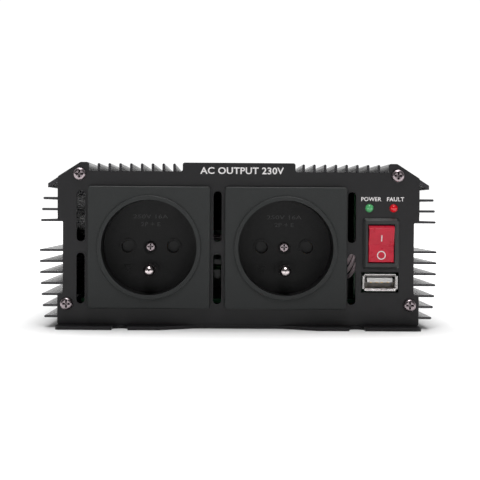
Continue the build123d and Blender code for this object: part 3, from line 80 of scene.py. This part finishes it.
def add_grain(material, shader, size_mm, depth_mm, stretch=(1, 1, 1), shades=None, gloss=None):
    """Noise of a real grain size: raised by its depth, and if asked varied in colour and gloss."""
    place = add_node(material, "ShaderNodeTexCoord")
    scale = [1 / (size_mm * MM * s) for s in stretch]
    mapping = add_node(material, "ShaderNodeMapping", {"Scale": scale},
                       {"Vector": place.outputs["Object"]})
    noise = add_node(material, "ShaderNodeTexNoise", {"Scale": 1.0, "Detail": 3.0},
                     {"Vector": mapping.outputs["Vector"]})
    bump = add_node(material, "ShaderNodeBump", {"Strength": 1.0, "Distance": depth_mm * MM},
                    {"Height": noise.outputs["Fac"]})
    links = material.node_tree.links
    links.new(bump.outputs["Normal"], shader.inputs["Normal"])
    if shades:
        ramp = add_node(material, "ShaderNodeValToRGB", None, {"Fac": noise.outputs["Fac"]})
        ramp.color_ramp.elements[0].position = 0.3
        ramp.color_ramp.elements[1].position = 0.7
        ramp.color_ramp.elements[0].color = linear(shades[0])
        ramp.color_ramp.elements[1].color = linear(shades[1])
        links.new(ramp.outputs["Color"], shader.inputs["Base Color"])
    if gloss:
        spread = add_node(material, "ShaderNodeMapRange",
                          {"From Min": 0.3, "From Max": 0.7,
                           "To Min": gloss[0], "To Max": gloss[1]},
                          {"Value": noise.outputs["Fac"]})
        links.new(spread.outputs["Result"], shader.inputs["Roughness"])
    return noise


def give(material, *node_names):
    """Puts a material on CAD nodes."""
    for name in node_names:
        for place in frame["nodes"][name].material_slots:
            place.material = material


# Black anodised aluminium: die lines 0.3 mm apart run the length of the case, and the film
# between them is a little duller where the dye took more.
anodised, shader = new_finish("black_anodised_aluminium", "#1d1b20", 0.24, 0.0,
                              Specular_IOR_Level=0.7)
add_grain(anodised, shader, 0.3, 0.01, stretch=(1, 220, 1), shades=("#18161b", "#232127"),
          gloss=(0.18, 0.32))
give(anodised, "heatsink_shell")


# ---- Base plate and end panels ----
# Cut from steel sheet, then sprayed with black epoxy powder and baked. The coat pulls itself
# into fine, even orange peel, and rounds every edge a little.

powder, shader = new_finish("black_powder_coat", "#0a080b", 0.42)
add_grain(powder, shader, 0.7, 0.012, shades=("#070609", "#0d0b0f"), gloss=(0.36, 0.48))
COATED = ("base_plate", "front_panel", "rear_panel")
COAT_EDGE_R = 0.15 * MM
SHARP_FROM = radians(50)            # edges that turn less than this stay as they are
give(powder, *COATED)
for node in COATED:
    rounding = frame["nodes"][node].modifiers.new("rounded_edges", "BEVEL")
    rounding.width = COAT_EDGE_R
    rounding.segments = 2
    rounding.limit_method = "ANGLE"
    rounding.angle_limit = SHARP_FROM
    rounding.harden_normals = True


# ---- Bright screws and pins ----
# Nickel plated, so they stay bright. The screws are headed from steel and the earth pins are
# turned from brass, and both keep fine marks. The plain nickel parts get painted shade in their
# recesses and tight corners.

nickel, shader = new_finish("nickel_plated_steel", "#a89ca0", 0.26, 1.0)
add_grain(nickel, shader, 0.25, 0.004, gloss=(0.2, 0.36))
RECESS_REACH = 1.4 * MM             # faces this close to another get painted shade
# Painted shade: an ambient occlusion mask turns the base colour near black in cross recesses and tight corners.
recess_painted_shade = add_node(nickel, "ShaderNodeAmbientOcclusion", {"Distance": RECESS_REACH, "samples": 8})
recess_shade_ramp = add_node(nickel, "ShaderNodeValToRGB", None, {"Fac": recess_painted_shade.outputs["AO"]})
recess_shade_ramp.color_ramp.elements[0].position = 0.35
recess_shade_ramp.color_ramp.elements[1].position = 0.85
recess_shade_ramp.color_ramp.elements[0].color = linear("#120e10")
recess_shade_ramp.color_ramp.elements[1].color = linear("#a89ca0")
nickel.node_tree.links.new(recess_shade_ramp.outputs["Color"], shader.inputs["Base Color"])
give(nickel, "panel_screws", "socket_screws", "board_screws", "clamp_bar_screws",
     "fan_screws", "fan_nuts", "earth_screw")
bright_nickel, shader = new_finish("bright_nickel_plated_brass", "#e8dcdd", 0.2, 1.0)
add_grain(bright_nickel, shader, 0.3, 0.003, gloss=(0.14, 0.28))
give(bright_nickel, "earth_pins")


# ---- Plain steel parts ----
# The countersunk screws and the bars that hold the transistors are steel, zinc plated to a dull
# grey with a faint crystal pattern.

zinc, shader = new_finish("zinc_plated_steel", "#77797c", 0.45, 1.0)
add_grain(zinc, shader, 0.8, 0.003, shades=("#6c6e72", "#86888b"), gloss=(0.38, 0.55))
give(zinc, "base_plate_screws", "standoff_screws", "clamp_bars")


# ---- Outlet bodies ----
# Moulded in dark grey polycarbonate. The mould was spark eroded, which leaves the plates an even
# matt grain that hides scratches. The deep wells are painted almost black with depth: painted shade.

outlet_grey, shader = new_finish("moulded_polycarbonate", "#272929", 0.58,
                                 Specular_IOR_Level=0.4)
grain = add_grain(outlet_grey, shader, 0.45, 0.02, gloss=(0.46, 0.64))
place = add_node(outlet_grey, "ShaderNodeTexCoord")
parts = add_node(outlet_grey, "ShaderNodeSeparateXYZ", None, {"Vector": place.outputs["Object"]})
plate_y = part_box("left_socket_body")[0].y
WELL_SHADE_FROM = 1.2 * MM                # behind the ring's front, where the painted shade in the well starts
WELL_SHADE_FULL = 2.4 * MM
# Painted shade: the base colour darkens to near black with depth into the wells.
depth = add_node(outlet_grey, "ShaderNodeMapRange",
                 {"From Min": plate_y + WELL_SHADE_FROM, "From Max": plate_y + WELL_SHADE_FULL},
                 {"Value": parts.outputs["Y"]})
shade = add_node(outlet_grey, "ShaderNodeValToRGB", None, {"Fac": grain.outputs["Fac"]})
shade.color_ramp.elements[0].position = 0.3
shade.color_ramp.elements[1].position = 0.7
shade.color_ramp.elements[0].color = linear("#232525")
shade.color_ramp.elements[1].color = linear("#2b2d2d")
well_painted_shade = add_node(outlet_grey, "ShaderNodeMix", {"data_type": "RGBA"},
                {"Factor": depth.outputs["Result"]})
well_painted_shade.inputs["B"].default_value = linear("#0b0b0c")
outlet_grey.node_tree.links.new(shade.outputs["Color"], well_painted_shade.inputs["A"])
outlet_grey.node_tree.links.new(well_painted_shade.outputs["Result"], shader.inputs["Base Color"])
give(outlet_grey, "left_socket_body", "right_socket_body")


# ---- Marks in the wells ----
# Rating and a triangle, raised in the mould on the well's floor: the same plastic, but smoother,
# so that they show only by their gloss.

raised_plastic, shader = new_finish("raised_polycarbonate", "#222223", 0.3)
add_grain(raised_plastic, shader, 0.5, 0.004, gloss=(0.28, 0.38))

RING_H = 0.8 * MM                    # ring round the well stands this far off the plate


def deselect():
    bpy.ops.object.select_all(action="DESELECT")


def finish_piece(piece, name, material, body):
    """Brings a piece's place into its mesh, and rides it on its body."""
    piece.name = name
    piece.data.name = name
    piece.data.materials.clear()
    piece.data.materials.append(material)
    deselect()
    piece.select_set(True)
    bpy.context.view_layer.objects.active = piece
    bpy.ops.object.transform_apply(location=True, rotation=True, scale=True)
    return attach(piece, body)


def join(pieces):
    """Joins separate meshes into one piece."""
    deselect()
    for piece in pieces:
        piece.select_set(True)
    bpy.context.view_layer.objects.active = pieces[0]
    if len(pieces) > 1:
        bpy.ops.object.join()
    return bpy.context.view_layer.objects.active


def lettering(words, width, height, place, facing, depth, weight=0.012):
    """Solid letters of a given size, centred on a place, on a face that looks along facing."""
    deselect()
    bpy.ops.object.text_add(location=(0, 0, 0), rotation=(0, 0, 0))
    text = bpy.context.object
    text.data.body = words
    text.data.align_x = "CENTER"
    text.data.align_y = "CENTER"
    text.data.offset = weight
    text.data.extrude = 0.5
    text.data.resolution_u = 3
    text.data.space_character = 1.04
    bpy.ops.object.convert(target="MESH")
    text = bpy.context.object
    corners = [Vector(c) for c in text.bound_box]
    low = Vector([min(c[i] for c in corners) for i in range(3)])
    high = Vector([max(c[i] for c in corners) for i in range(3)])
    middle = (low + high) / 2
    size = high - low
    for vertex in text.data.vertices:
        vertex.co -= middle
    text.scale = (width / size.x, height / size.y, depth / size.z)
    text.rotation_euler = (pi / 2, 0, 0 if facing < 0 else pi)
    text.location = place
    deselect()
    text.select_set(True)
    bpy.context.view_layer.objects.active = text
    bpy.ops.object.transform_apply(location=True, rotation=True, scale=True)
    return text


WELL_DEPTH = 15 * MM
WELL_MARK_H = 0.2 * MM
WELL_TEXT_H = 1.7 * MM
RATING_W, RATING_UP = 14.6 * MM, 12.6 * MM
POLES_W, POLES_UP = 8.0 * MM, 9.4 * MM
TRIANGLE_R = 2.0 * MM
TRIANGLE_LINE_R = 0.2 * MM
TRIANGLE_LEFT, TRIANGLE_DOWN = 9.3 * MM, 8.7 * MM

for side in ("left", "right"):
    low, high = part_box(side + "_socket_body")
    middle_x = (low.x + high.x) / 2
    middle_z = (low.z + high.z) / 2
    floor_y = low.y + RING_H + WELL_DEPTH - WELL_MARK_H / 2
    rating = lettering("250V 16A", RATING_W, WELL_TEXT_H,
                       (middle_x, floor_y, middle_z + RATING_UP), -1, WELL_MARK_H)
    poles = lettering("2P + E", POLES_W, WELL_TEXT_H,
                      (middle_x, floor_y, middle_z + POLES_UP), -1, WELL_MARK_H)
    deselect()
    bpy.ops.mesh.primitive_torus_add(
        major_radius=TRIANGLE_R, minor_radius=TRIANGLE_LINE_R, major_segments=3, minor_segments=8,
        rotation=(-pi / 2, 0, 0),
        location=(middle_x - TRIANGLE_LEFT, floor_y, middle_z - TRIANGLE_DOWN))
    triangle = bpy.context.object
    bpy.ops.object.mode_set(mode="EDIT")
    bpy.ops.mesh.select_all(action="SELECT")
    bpy.ops.transform.resize(value=(1, 0.5, 1), center_override=triangle.location)
    bpy.ops.transform.rotate(value=-pi / 2, orient_axis="Y", center_override=triangle.location)
    bpy.ops.object.mode_set(mode="OBJECT")
    marks = join([rating, poles, triangle])
    finish_piece(marks, side + "_well_marks", raised_plastic, "case")


# ---- Shutters ----
# Moulded black plastic flaps that stand behind the line and neutral holes. They are acetal, dull
# and slippery, and rounded at the rim so that a pin doesn't catch.

shutter_black, shader = new_finish("black_acetal", "#0d0d0e", 0.5)
add_grain(shutter_black, shader, 0.4, 0.01, gloss=(0.42, 0.58))

PIN_HOLES = {mount["name"]: Vector(mount["pos_m"]) for mount in frame["record"]["mounts"]
             if mount["name"].endswith("_pin_hole")}
SHUTTER_R = 2.55 * MM
SHUTTER_T = 0.6 * MM
SHUTTER_SET_BACK = 3.0 * MM         # its front behind the collar round the hole
SHUTTER_RIM = 0.12 * MM
COLLAR_H = 0.6 * MM

for side in ("left", "right"):
    flaps = []
    for hole in ("_line_pin_hole", "_neutral_pin_hole"):
        mouth = PIN_HOLES[side + hole]
        collar_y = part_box(side + "_socket_body")[0].y + RING_H + WELL_DEPTH - COLLAR_H
        deselect()
        bpy.ops.mesh.primitive_cylinder_add(
            vertices=40, radius=SHUTTER_R, depth=SHUTTER_T, rotation=(pi / 2, 0, 0),
            location=(mouth.x, collar_y + SHUTTER_SET_BACK + SHUTTER_T / 2, mouth.z))
        flap = bpy.context.object
        bpy.ops.object.mode_set(mode="EDIT")
        bpy.ops.mesh.select_all(action="SELECT")
        bpy.ops.mesh.bevel(offset=SHUTTER_RIM, segments=2)
        bpy.ops.object.mode_set(mode="OBJECT")
        flaps.append(flap)
    finish_piece(join(flaps), side + "_shutters", shutter_black, "case")


# ---- Switch housing, fan and the insulators inside ----
# Glass-filled nylon, moulded in a polished tool: nearly black, satin, with the flow of the fibre
# just visible as a slow change of gloss.

black_nylon, shader = new_finish("black_nylon", "#2a2b2b", 0.34)
add_grain(black_nylon, shader, 2.2, 0.006, gloss=(0.28, 0.42))
give(black_nylon, "switch_housing", "clamp_blocks", "fan_frame", "fan_rotor", "buzzer")


# ---- Rocker ----
# Red polycarbonate, polished in the mould, and slightly clear so that light spreads just under
# its skin. It rides on the switch's pivot.

rocker_red, shader = new_finish("red_polycarbonate", "#c81f38", 0.3, Subsurface_Weight=0.15,
                                Specular_IOR_Level=0.35)
shader.inputs["Subsurface Radius"].default_value = (0.003, 0.0008, 0.0006)
shader.inputs["Subsurface Scale"].default_value = 0.4
add_grain(rocker_red, shader, 3.0, 0.003, shades=("#bf1c34", "#ce243d"), gloss=(0.26, 0.36))
give(rocker_red, "switch_rocker")


# ---- Rocker's marks ----
# A bar for on and a ring for off, filled with white ink in shallow cuts in the rocker's two
# faces, so they tilt with it.

white_ink, shader = new_finish("white_ink", "#e9e6e6", 0.5)
add_grain(white_ink, shader, 0.4, 0.006, shades=("#dedada", "#f2f0f0"))

MARK_H = 0.12 * MM
BAR_W, BAR_L = 0.45 * MM, 2.8 * MM
BAR_EDGE = 0.05 * MM
BAR_ALONG = 2.9 * MM                 # bar's middle from the rocker's middle
RING_R, RING_LINE_R = 1.6 * MM, 0.21 * MM
RING_ALONG = 4.3 * MM
pivot = Vector(next(j for j in frame["joints"] if j["name"] == "rocker_tilt")["pos_m"])
FACE_RISE = 2.0 * MM                 # rocker's faces above the pivot, at its middle
FACE_SLOPE = radians(10.6)           # faces rise to the ends
TILT = radians(11.0)                 # rocker at rest leans this far


def on_rocker(piece, along, upper):
    """Lays a flat piece, drawn on XY, on one of the rocker's faces."""
    slope = FACE_SLOPE if upper else -FACE_SLOPE
    side = 1 if upper else -1
    lean = pi / 2 + slope + TILT
    face_out = FACE_RISE + along * sin(FACE_SLOPE)
    up = side * along * cos(FACE_SLOPE)
    place = Vector((0, -face_out, up))
    place = Vector((0, place.y * cos(TILT) - place.z * sin(TILT),
                    place.y * sin(TILT) + place.z * cos(TILT)))
    piece.rotation_euler = (lean, 0, 0)
    piece.location = pivot + place


deselect()
bpy.ops.mesh.primitive_cube_add(size=1, location=(0, 0, 0))
bar = bpy.context.object
bar.scale = (BAR_W, BAR_L, 2 * MARK_H)
bpy.ops.object.transform_apply(location=False, rotation=False, scale=True)
bpy.ops.object.mode_set(mode="EDIT")
bpy.ops.mesh.select_all(action="SELECT")
bpy.ops.mesh.bevel(offset=BAR_EDGE, segments=2)
bpy.ops.object.mode_set(mode="OBJECT")
on_rocker(bar, BAR_ALONG, True)
finish_piece(bar, "rocker_on_mark", white_ink, "rocker")

deselect()
bpy.ops.mesh.primitive_torus_add(major_radius=RING_R, minor_radius=RING_LINE_R,
                                 major_segments=48, minor_segments=8)
ring = bpy.context.object
ring.scale = (1, 1, 0.5)
bpy.ops.object.shade_smooth()
on_rocker(ring, RING_ALONG, False)
finish_piece(ring, "rocker_off_mark", white_ink, "rocker")


# ---- Printed panel lettering ----
# Screen printed in white ink on the powder coat, so it stands a few hundredths of a millimetre
# proud and follows the coat's grain.

PRINT_H = 0.06 * MM
PRINT_WEIGHT = 0.02
SLOT_LIP_H = 0.4 * MM                # lips round the vent slots, the panel's most forward part
TITLE_W, TITLE_H = 34.3 * MM, 2.83 * MM
TITLE_X, TITLE_Z = 1.2 * MM, 64.9 * MM
LAMP_TEXT_H = 1.7 * MM
LAMP_TEXT_Z = 53.6 * MM
LAMP_TEXT_SHIFT = 0.75 * MM          # to the right of the lamp's middle

print_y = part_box("front_panel")[0].y + SLOT_LIP_H - PRINT_H / 2
prints = [lettering("AC OUTPUT 230V", TITLE_W, TITLE_H, (TITLE_X, print_y, TITLE_Z), -1,
                    PRINT_H, PRINT_WEIGHT)]
for node, words, width in (("power_led", "POWER", 8.3), ("fault_led", "FAULT", 7.1)):
    lamp_x = sum(corner.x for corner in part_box(node)) / 2
    prints.append(lettering(words, width * MM, LAMP_TEXT_H,
                            (lamp_x + LAMP_TEXT_SHIFT, print_y, LAMP_TEXT_Z), -1,
                            PRINT_H, PRINT_WEIGHT))
finish_piece(join(prints), "front_lettering", white_ink, "case")

SIGN_ABOVE = 4.0 * MM                # pole signs above their bushings
INPUT_BELOW = 3.6 * MM               # input's name below them, clear of the earth screw
INPUT_W, INPUT_H = 26 * MM, 2.6 * MM
rear_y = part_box("rear_panel")[1].y + PRINT_H / 2
signs = []
for node, words, width, height in (("positive_bushing", "+", 3.4, 3.4),
                                   ("negative_bushing", "-", 3.4, 0.8)):
    low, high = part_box(node)
    signs.append(lettering(words, width * MM, height * MM,
                           ((low.x + high.x) / 2, rear_y, high.z + SIGN_ABOVE), 1,
                           PRINT_H, PRINT_WEIGHT))
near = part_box("positive_bushing")[0]
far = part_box("negative_bushing")[1]
signs.append(lettering("DC INPUT 12V", INPUT_W, INPUT_H,
                       ((near.x + far.x) / 2, rear_y, near.z - INPUT_BELOW), 1,
                       PRINT_H, PRINT_WEIGHT))
finish_piece(join(signs), "rear_lettering", white_ink, "case")


# ---- Indicator lamps ----
# Cast from tinted clear epoxy round the chip, with a domed nose. The tint is deep, and light
# passes only near the edge.

power_green, shader = new_finish("green_epoxy", "#4fae6d", 0.16, Transmission_Weight=0.35,
                                 Coat_Weight=0.5, Emission_Strength=0.12)
shader.inputs["Emission Color"].default_value = linear("#7fe09a")
add_grain(power_green, shader, 1.2, 0.003, shades=("#45a062", "#63c180"))
give(power_green, "power_led")
fault_red, shader = new_finish("red_epoxy", "#c60f1d", 0.16, Transmission_Weight=0.25,
                               Coat_Weight=0.5, Emission_Strength=0.15)
shader.inputs["Emission Color"].default_value = linear("#ff2030")
add_grain(fault_red, shader, 1.2, 0.003, shades=("#b40d1a", "#d81424"))
give(fault_red, "fault_led")


# ---- USB outlet ----
# The shell is folded from tin-plated steel strip, its lips flared to guide the plug. The tongue
# is white heat-proof resin, and its four contacts are gold plated where the plug rubs.

tinned, shader = new_finish("tin_plated_steel", "#cfcccb", 0.24, 1.0)
add_grain(tinned, shader, 0.5, 0.004, stretch=(6, 1, 1), shades=("#bfbcbb", "#dbd8d7"),
          gloss=(0.18, 0.34))
give(tinned, "usb_shell")
resin, shader = new_finish("white_resin", "#f0eeec", 0.45)
add_grain(resin, shader, 0.8, 0.008, shades=("#e9e7e5", "#f7f5f3"))
give(resin, "usb_tongue")
gold, shader = new_finish("gold_plate", "#d8ac4e", 0.25, 1.0)
add_grain(gold, shader, 0.3, 0.002, gloss=(0.2, 0.32))
give(gold, "usb_contacts")


# ---- Brass parts ----
# Turned or pressed from brass: studs, nuts, lugs and washers at the back, and the sleeves that
# grip a plug's pins. Turning leaves fine rings, and the air dulls it in patches.

brass, shader = new_finish("turned_brass", "#b98e46", 0.3, 1.0)
add_grain(brass, shader, 0.6, 0.006, shades=("#a97f3c", "#c79b50"), gloss=(0.22, 0.42))
give(brass, "terminal_studs", "terminal_nuts", "terminal_lugs", "positive_washer",
     "negative_washer", "socket_contacts", "switch_terminals", "standoffs")


# ---- Battery terminals ----
# Knobs and bushings are phenolic resin, red for positive and black for negative, pressed hot in
# a polished mould, so they are hard, glossy and very slightly mottled.

red_phenolic, shader = new_finish("red_phenolic", "#a81a20", 0.24, Coat_Weight=0.2)
add_grain(red_phenolic, shader, 1.4, 0.008, shades=("#9a161c", "#b62027"), gloss=(0.2, 0.32))
give(red_phenolic, "positive_bushing", "positive_knob")
black_phenolic, shader = new_finish("black_phenolic", "#1c1c1d", 0.26, Coat_Weight=0.2)
add_grain(black_phenolic, shader, 1.4, 0.008, shades=("#171718", "#232324"), gloss=(0.2, 0.34))
give(black_phenolic, "negative_bushing", "negative_knob")


# ---- Fan guard and bush ----
# The guard is spot-welded steel wire, chromium plated. The bush is sintered bronze, dark with
# the oil that it holds.

chrome, shader = new_finish("chromium_plate", "#d3d4d6", 0.12, 1.0)
add_grain(chrome, shader, 1.5, 0.004, gloss=(0.08, 0.18))
give(chrome, "fan_guard")
bronze, shader = new_finish("sintered_bronze", "#6b4a2a", 0.6, 1.0)
add_grain(bronze, shader, 0.3, 0.02, shades=("#5c3f24", "#7a5632"))
give(bronze, "fan_bush")


# ---- Circuit boards ----
# Glass-epoxy laminate under green solder resist. The copper tracks stand up through the resist
# as slightly paler lanes.

resist, shader = new_finish("green_solder_resist", "#0c3a20", 0.3, Coat_Weight=0.3)
TRACK_W, TRACK_L = 4 * MM, 9 * MM
TRACK_H = 0.03 * MM
place = add_node(resist, "ShaderNodeTexCoord")
mapping = add_node(resist, "ShaderNodeMapping",
                   {"Scale": (1 / TRACK_W, 1 / TRACK_L, 1 / TRACK_W)},
                   {"Vector": place.outputs["Object"]})
tracks = add_node(resist, "ShaderNodeTexBrick",
                  {"Scale": 1.0, "Mortar Size": 0.08, "Color1": linear("#0e3d22"),
                   "Color2": linear("#0b321b"), "Mortar": linear("#1a5834")},
                  {"Vector": mapping.outputs["Vector"]})
raised = add_node(resist, "ShaderNodeBump", {"Distance": TRACK_H},
                  {"Height": tracks.outputs["Fac"]})
resist.node_tree.links.new(tracks.outputs["Color"], shader.inputs["Base Color"])
resist.node_tree.links.new(raised.outputs["Normal"], shader.inputs["Normal"])
give(resist, "main_board", "front_board", "driver_board")


# ---- Transformers and choke ----
# Cores are pressed and fired ferrite, a dull dark ceramic. The windings are enamelled copper
# wire, wound side by side, so their faces are ribbed. The grooves between the ribs are coloured
# darker: painted shade.

ferrite, shader = new_finish("fired_ferrite", "#2f2f31", 0.6)
add_grain(ferrite, shader, 0.5, 0.02, shades=("#28282a", "#39393c"))
give(ferrite, "transformer_cores", "choke_core")
copper, shader = new_finish("enamelled_copper", "#a8592c", 0.28, 0.9, Coat_Weight=0.6)
TURN_PITCH = 1.1 * MM
TURN_H = 0.3 * MM
# At this scale the wave repeats every 2 pi pitches, so the ribs stand 6.9 mm apart, coarser than
# the real turns.
WAVE_STEP = 20
place = add_node(copper, "ShaderNodeTexCoord")
turns = add_node(copper, "ShaderNodeTexWave",
                 {"Scale": 1 / TURN_PITCH / WAVE_STEP, "bands_direction": "Z", "Distortion": 0.6,
                  "Detail Scale": 2.0}, {"Vector": place.outputs["Object"]})
ribs = add_node(copper, "ShaderNodeBump", {"Distance": TURN_H}, {"Height": turns.outputs["Fac"]})
# Painted shade: the same wave colours the copper darker in the grooves between the ribs.
ramp = add_node(copper, "ShaderNodeValToRGB", None, {"Fac": turns.outputs["Fac"]})
ramp.color_ramp.elements[0].color = linear("#6f3417")
ramp.color_ramp.elements[1].color = linear("#b9683a")
copper.node_tree.links.new(ramp.outputs["Color"], shader.inputs["Base Color"])
copper.node_tree.links.new(ribs.outputs["Normal"], shader.inputs["Normal"])
give(copper, "transformer_windings", "choke_winding")


# ---- Capacitors, fuses and transistors ----
# Capacitors wear a shrunk navy vinyl sleeve. The fuses are clear orange plastic, and the
# transistors are moulded in black epoxy full of fine silica.

vinyl, shader = new_finish("shrunk_vinyl", "#14204a", 0.3)
add_grain(vinyl, shader, 5.0, 0.01, stretch=(1, 1, 4), shades=("#101a3e", "#1a2858"))
give(vinyl, "output_capacitors", "input_capacitors")
orange, shader = new_finish("clear_orange_plastic", "#d9761c", 0.22, Transmission_Weight=0.3)
add_grain(orange, shader, 2.0, 0.006, shades=("#cf6c16", "#e58327"))
give(orange, "fuses")
epoxy, shader = new_finish("moulded_epoxy", "#232323", 0.55)
add_grain(epoxy, shader, 0.3, 0.012, shades=("#1d1d1d", "#2b2b2b"))
give(epoxy, "transistors")
silicone, shader = new_finish("silicone_pad", "#c9cbc8", 0.7)
add_grain(silicone, shader, 0.6, 0.02, shades=("#bdbfbc", "#d5d7d4"))
give(silicone, "insulating_pads")


# ---- Wires ----
# Stranded copper in soft vinyl. The colour says what each carries, and the vinyl is faintly
# waved where the strands press through.

for name, hex_code, dark, nodes in (
        ("white_vinyl", "#d9c9cd", "#c4b2b7", ("mains_wires", "control_wires")),
        ("green_vinyl", "#3f8a3a", "#34752f", ("earth_link",)),
        ("red_vinyl", "#b01a1e", "#981518", ("positive_lead",)),
        ("black_vinyl", "#1e1e1f", "#171718", ("negative_lead", "fan_wires"))):
    insulation, shader = new_finish(name, hex_code, 0.42)
    add_grain(insulation, shader, 1.6, 0.02, shades=(dark, hex_code))
    give(insulation, *nodes)


# ---- Floor, light and camera ----
# White card in a white studio: a wide soft light overhead, a smaller one high in front, and walls
# that are brighter behind than in front. Away from the case the card glows to plain white.

card, shader = new_finish("white_card", "#f2f2f2", 0.9)
add_grain(card, shader, 2.0, 0.01, shades=("#f1f1f1", "#f4f4f4"))
shader.inputs["Emission Color"].default_value = (1, 1, 1, 1)
GLOW_FROM, GLOW_FULL = 0.25, 0.9     # metres from the case's middle
FLOOR_SIZE = 60
place = add_node(card, "ShaderNodeTexCoord")
distance = add_node(card, "ShaderNodeVectorMath", {"operation": "LENGTH"},
                    {"Vector": place.outputs["Object"]})
glow = add_node(card, "ShaderNodeMapRange",
                {"From Min": GLOW_FROM, "From Max": GLOW_FULL, "To Max": 1.0},
                {"Value": distance.outputs["Value"]})
card.node_tree.links.new(glow.outputs["Result"], shader.inputs["Emission Strength"])
deselect()
bpy.ops.mesh.primitive_plane_add(size=FLOOR_SIZE, location=(0, 0, 0))
floor = bpy.context.object
floor.name = "floor"
floor.data.materials.append(card)

FRONT_WALL = 0.06                    # strength of the walls' light
BACK_WALL = 1.0
BACKDROP = 1.05                      # and of the wall that the camera sees
world = bpy.data.worlds.new("studio")
bpy.context.scene.world = world
bpy.context.scene.view_settings.view_transform = "Standard"
world.use_nodes = True
around = world.node_tree.nodes["Background"]
around.inputs["Color"].default_value = (1, 1, 1, 1)
compass = add_node(world, "ShaderNodeTexCoord")
parts = add_node(world, "ShaderNodeSeparateXYZ", None, {"Vector": compass.outputs["Generated"]})
backdrop = add_node(world, "ShaderNodeMapRange",
                    {"interpolation_type": "SMOOTHSTEP", "From Min": -0.1, "From Max": 0.7,
                     "To Min": FRONT_WALL, "To Max": BACK_WALL},
                    {"Value": parts.outputs["Y"]})
seen = add_node(world, "ShaderNodeLightPath")
level = add_node(world, "ShaderNodeMix", {"data_type": "FLOAT"},
                 {"Factor": seen.outputs["Is Camera Ray"], "A": backdrop.outputs["Result"]})
level.inputs["B"].default_value = BACKDROP
world.node_tree.links.new(level.outputs["Result"], around.inputs["Strength"])


def soft_light(name, place, aim, size, power):
    """Square soft box that looks from a place to a point."""
    data = bpy.data.lights.new(name, "AREA")
    data.size = size
    data.energy = power
    light = bpy.data.objects.new(name, data)
    bpy.context.collection.objects.link(light)
    light.location = place
    light.rotation_euler = (Vector(aim) - Vector(place)).to_track_quat("-Z", "Y").to_euler()


soft_light("overhead", (0, 0.3, 1.0), (0, 0, 0), 0.9, 11)
soft_light("front_high", (0, -0.7, 1.3), (0, 0, 0.03), 0.5, 10)

SENSOR_W = 36                        # millimetres, as is the lens
LENS = 102.3
CAMERA_AT = (-0.0085, -0.6765, 0.04795)
YAW = 0.0161                         # radians to the right, down and over
PITCH = 0.0205
ROLL = 0.0064
camera_data = bpy.data.cameras.new("camera")
camera_data.sensor_width = SENSOR_W
camera_data.lens = LENS
camera_data.clip_start = 0.01
camera = bpy.data.objects.new("camera", camera_data)
bpy.context.collection.objects.link(camera)
camera.location = CAMERA_AT
ahead = Vector((sin(YAW) * cos(PITCH), cos(YAW) * cos(PITCH), -sin(PITCH)))
across = Vector((cos(YAW), -sin(YAW), 0))
upward = across.cross(ahead)
rolled = cos(ROLL) * across + sin(ROLL) * upward
camera.rotation_euler = Matrix((rolled, rolled.cross(ahead), -ahead)).transposed().to_euler()
bpy.context.scene.camera = camera
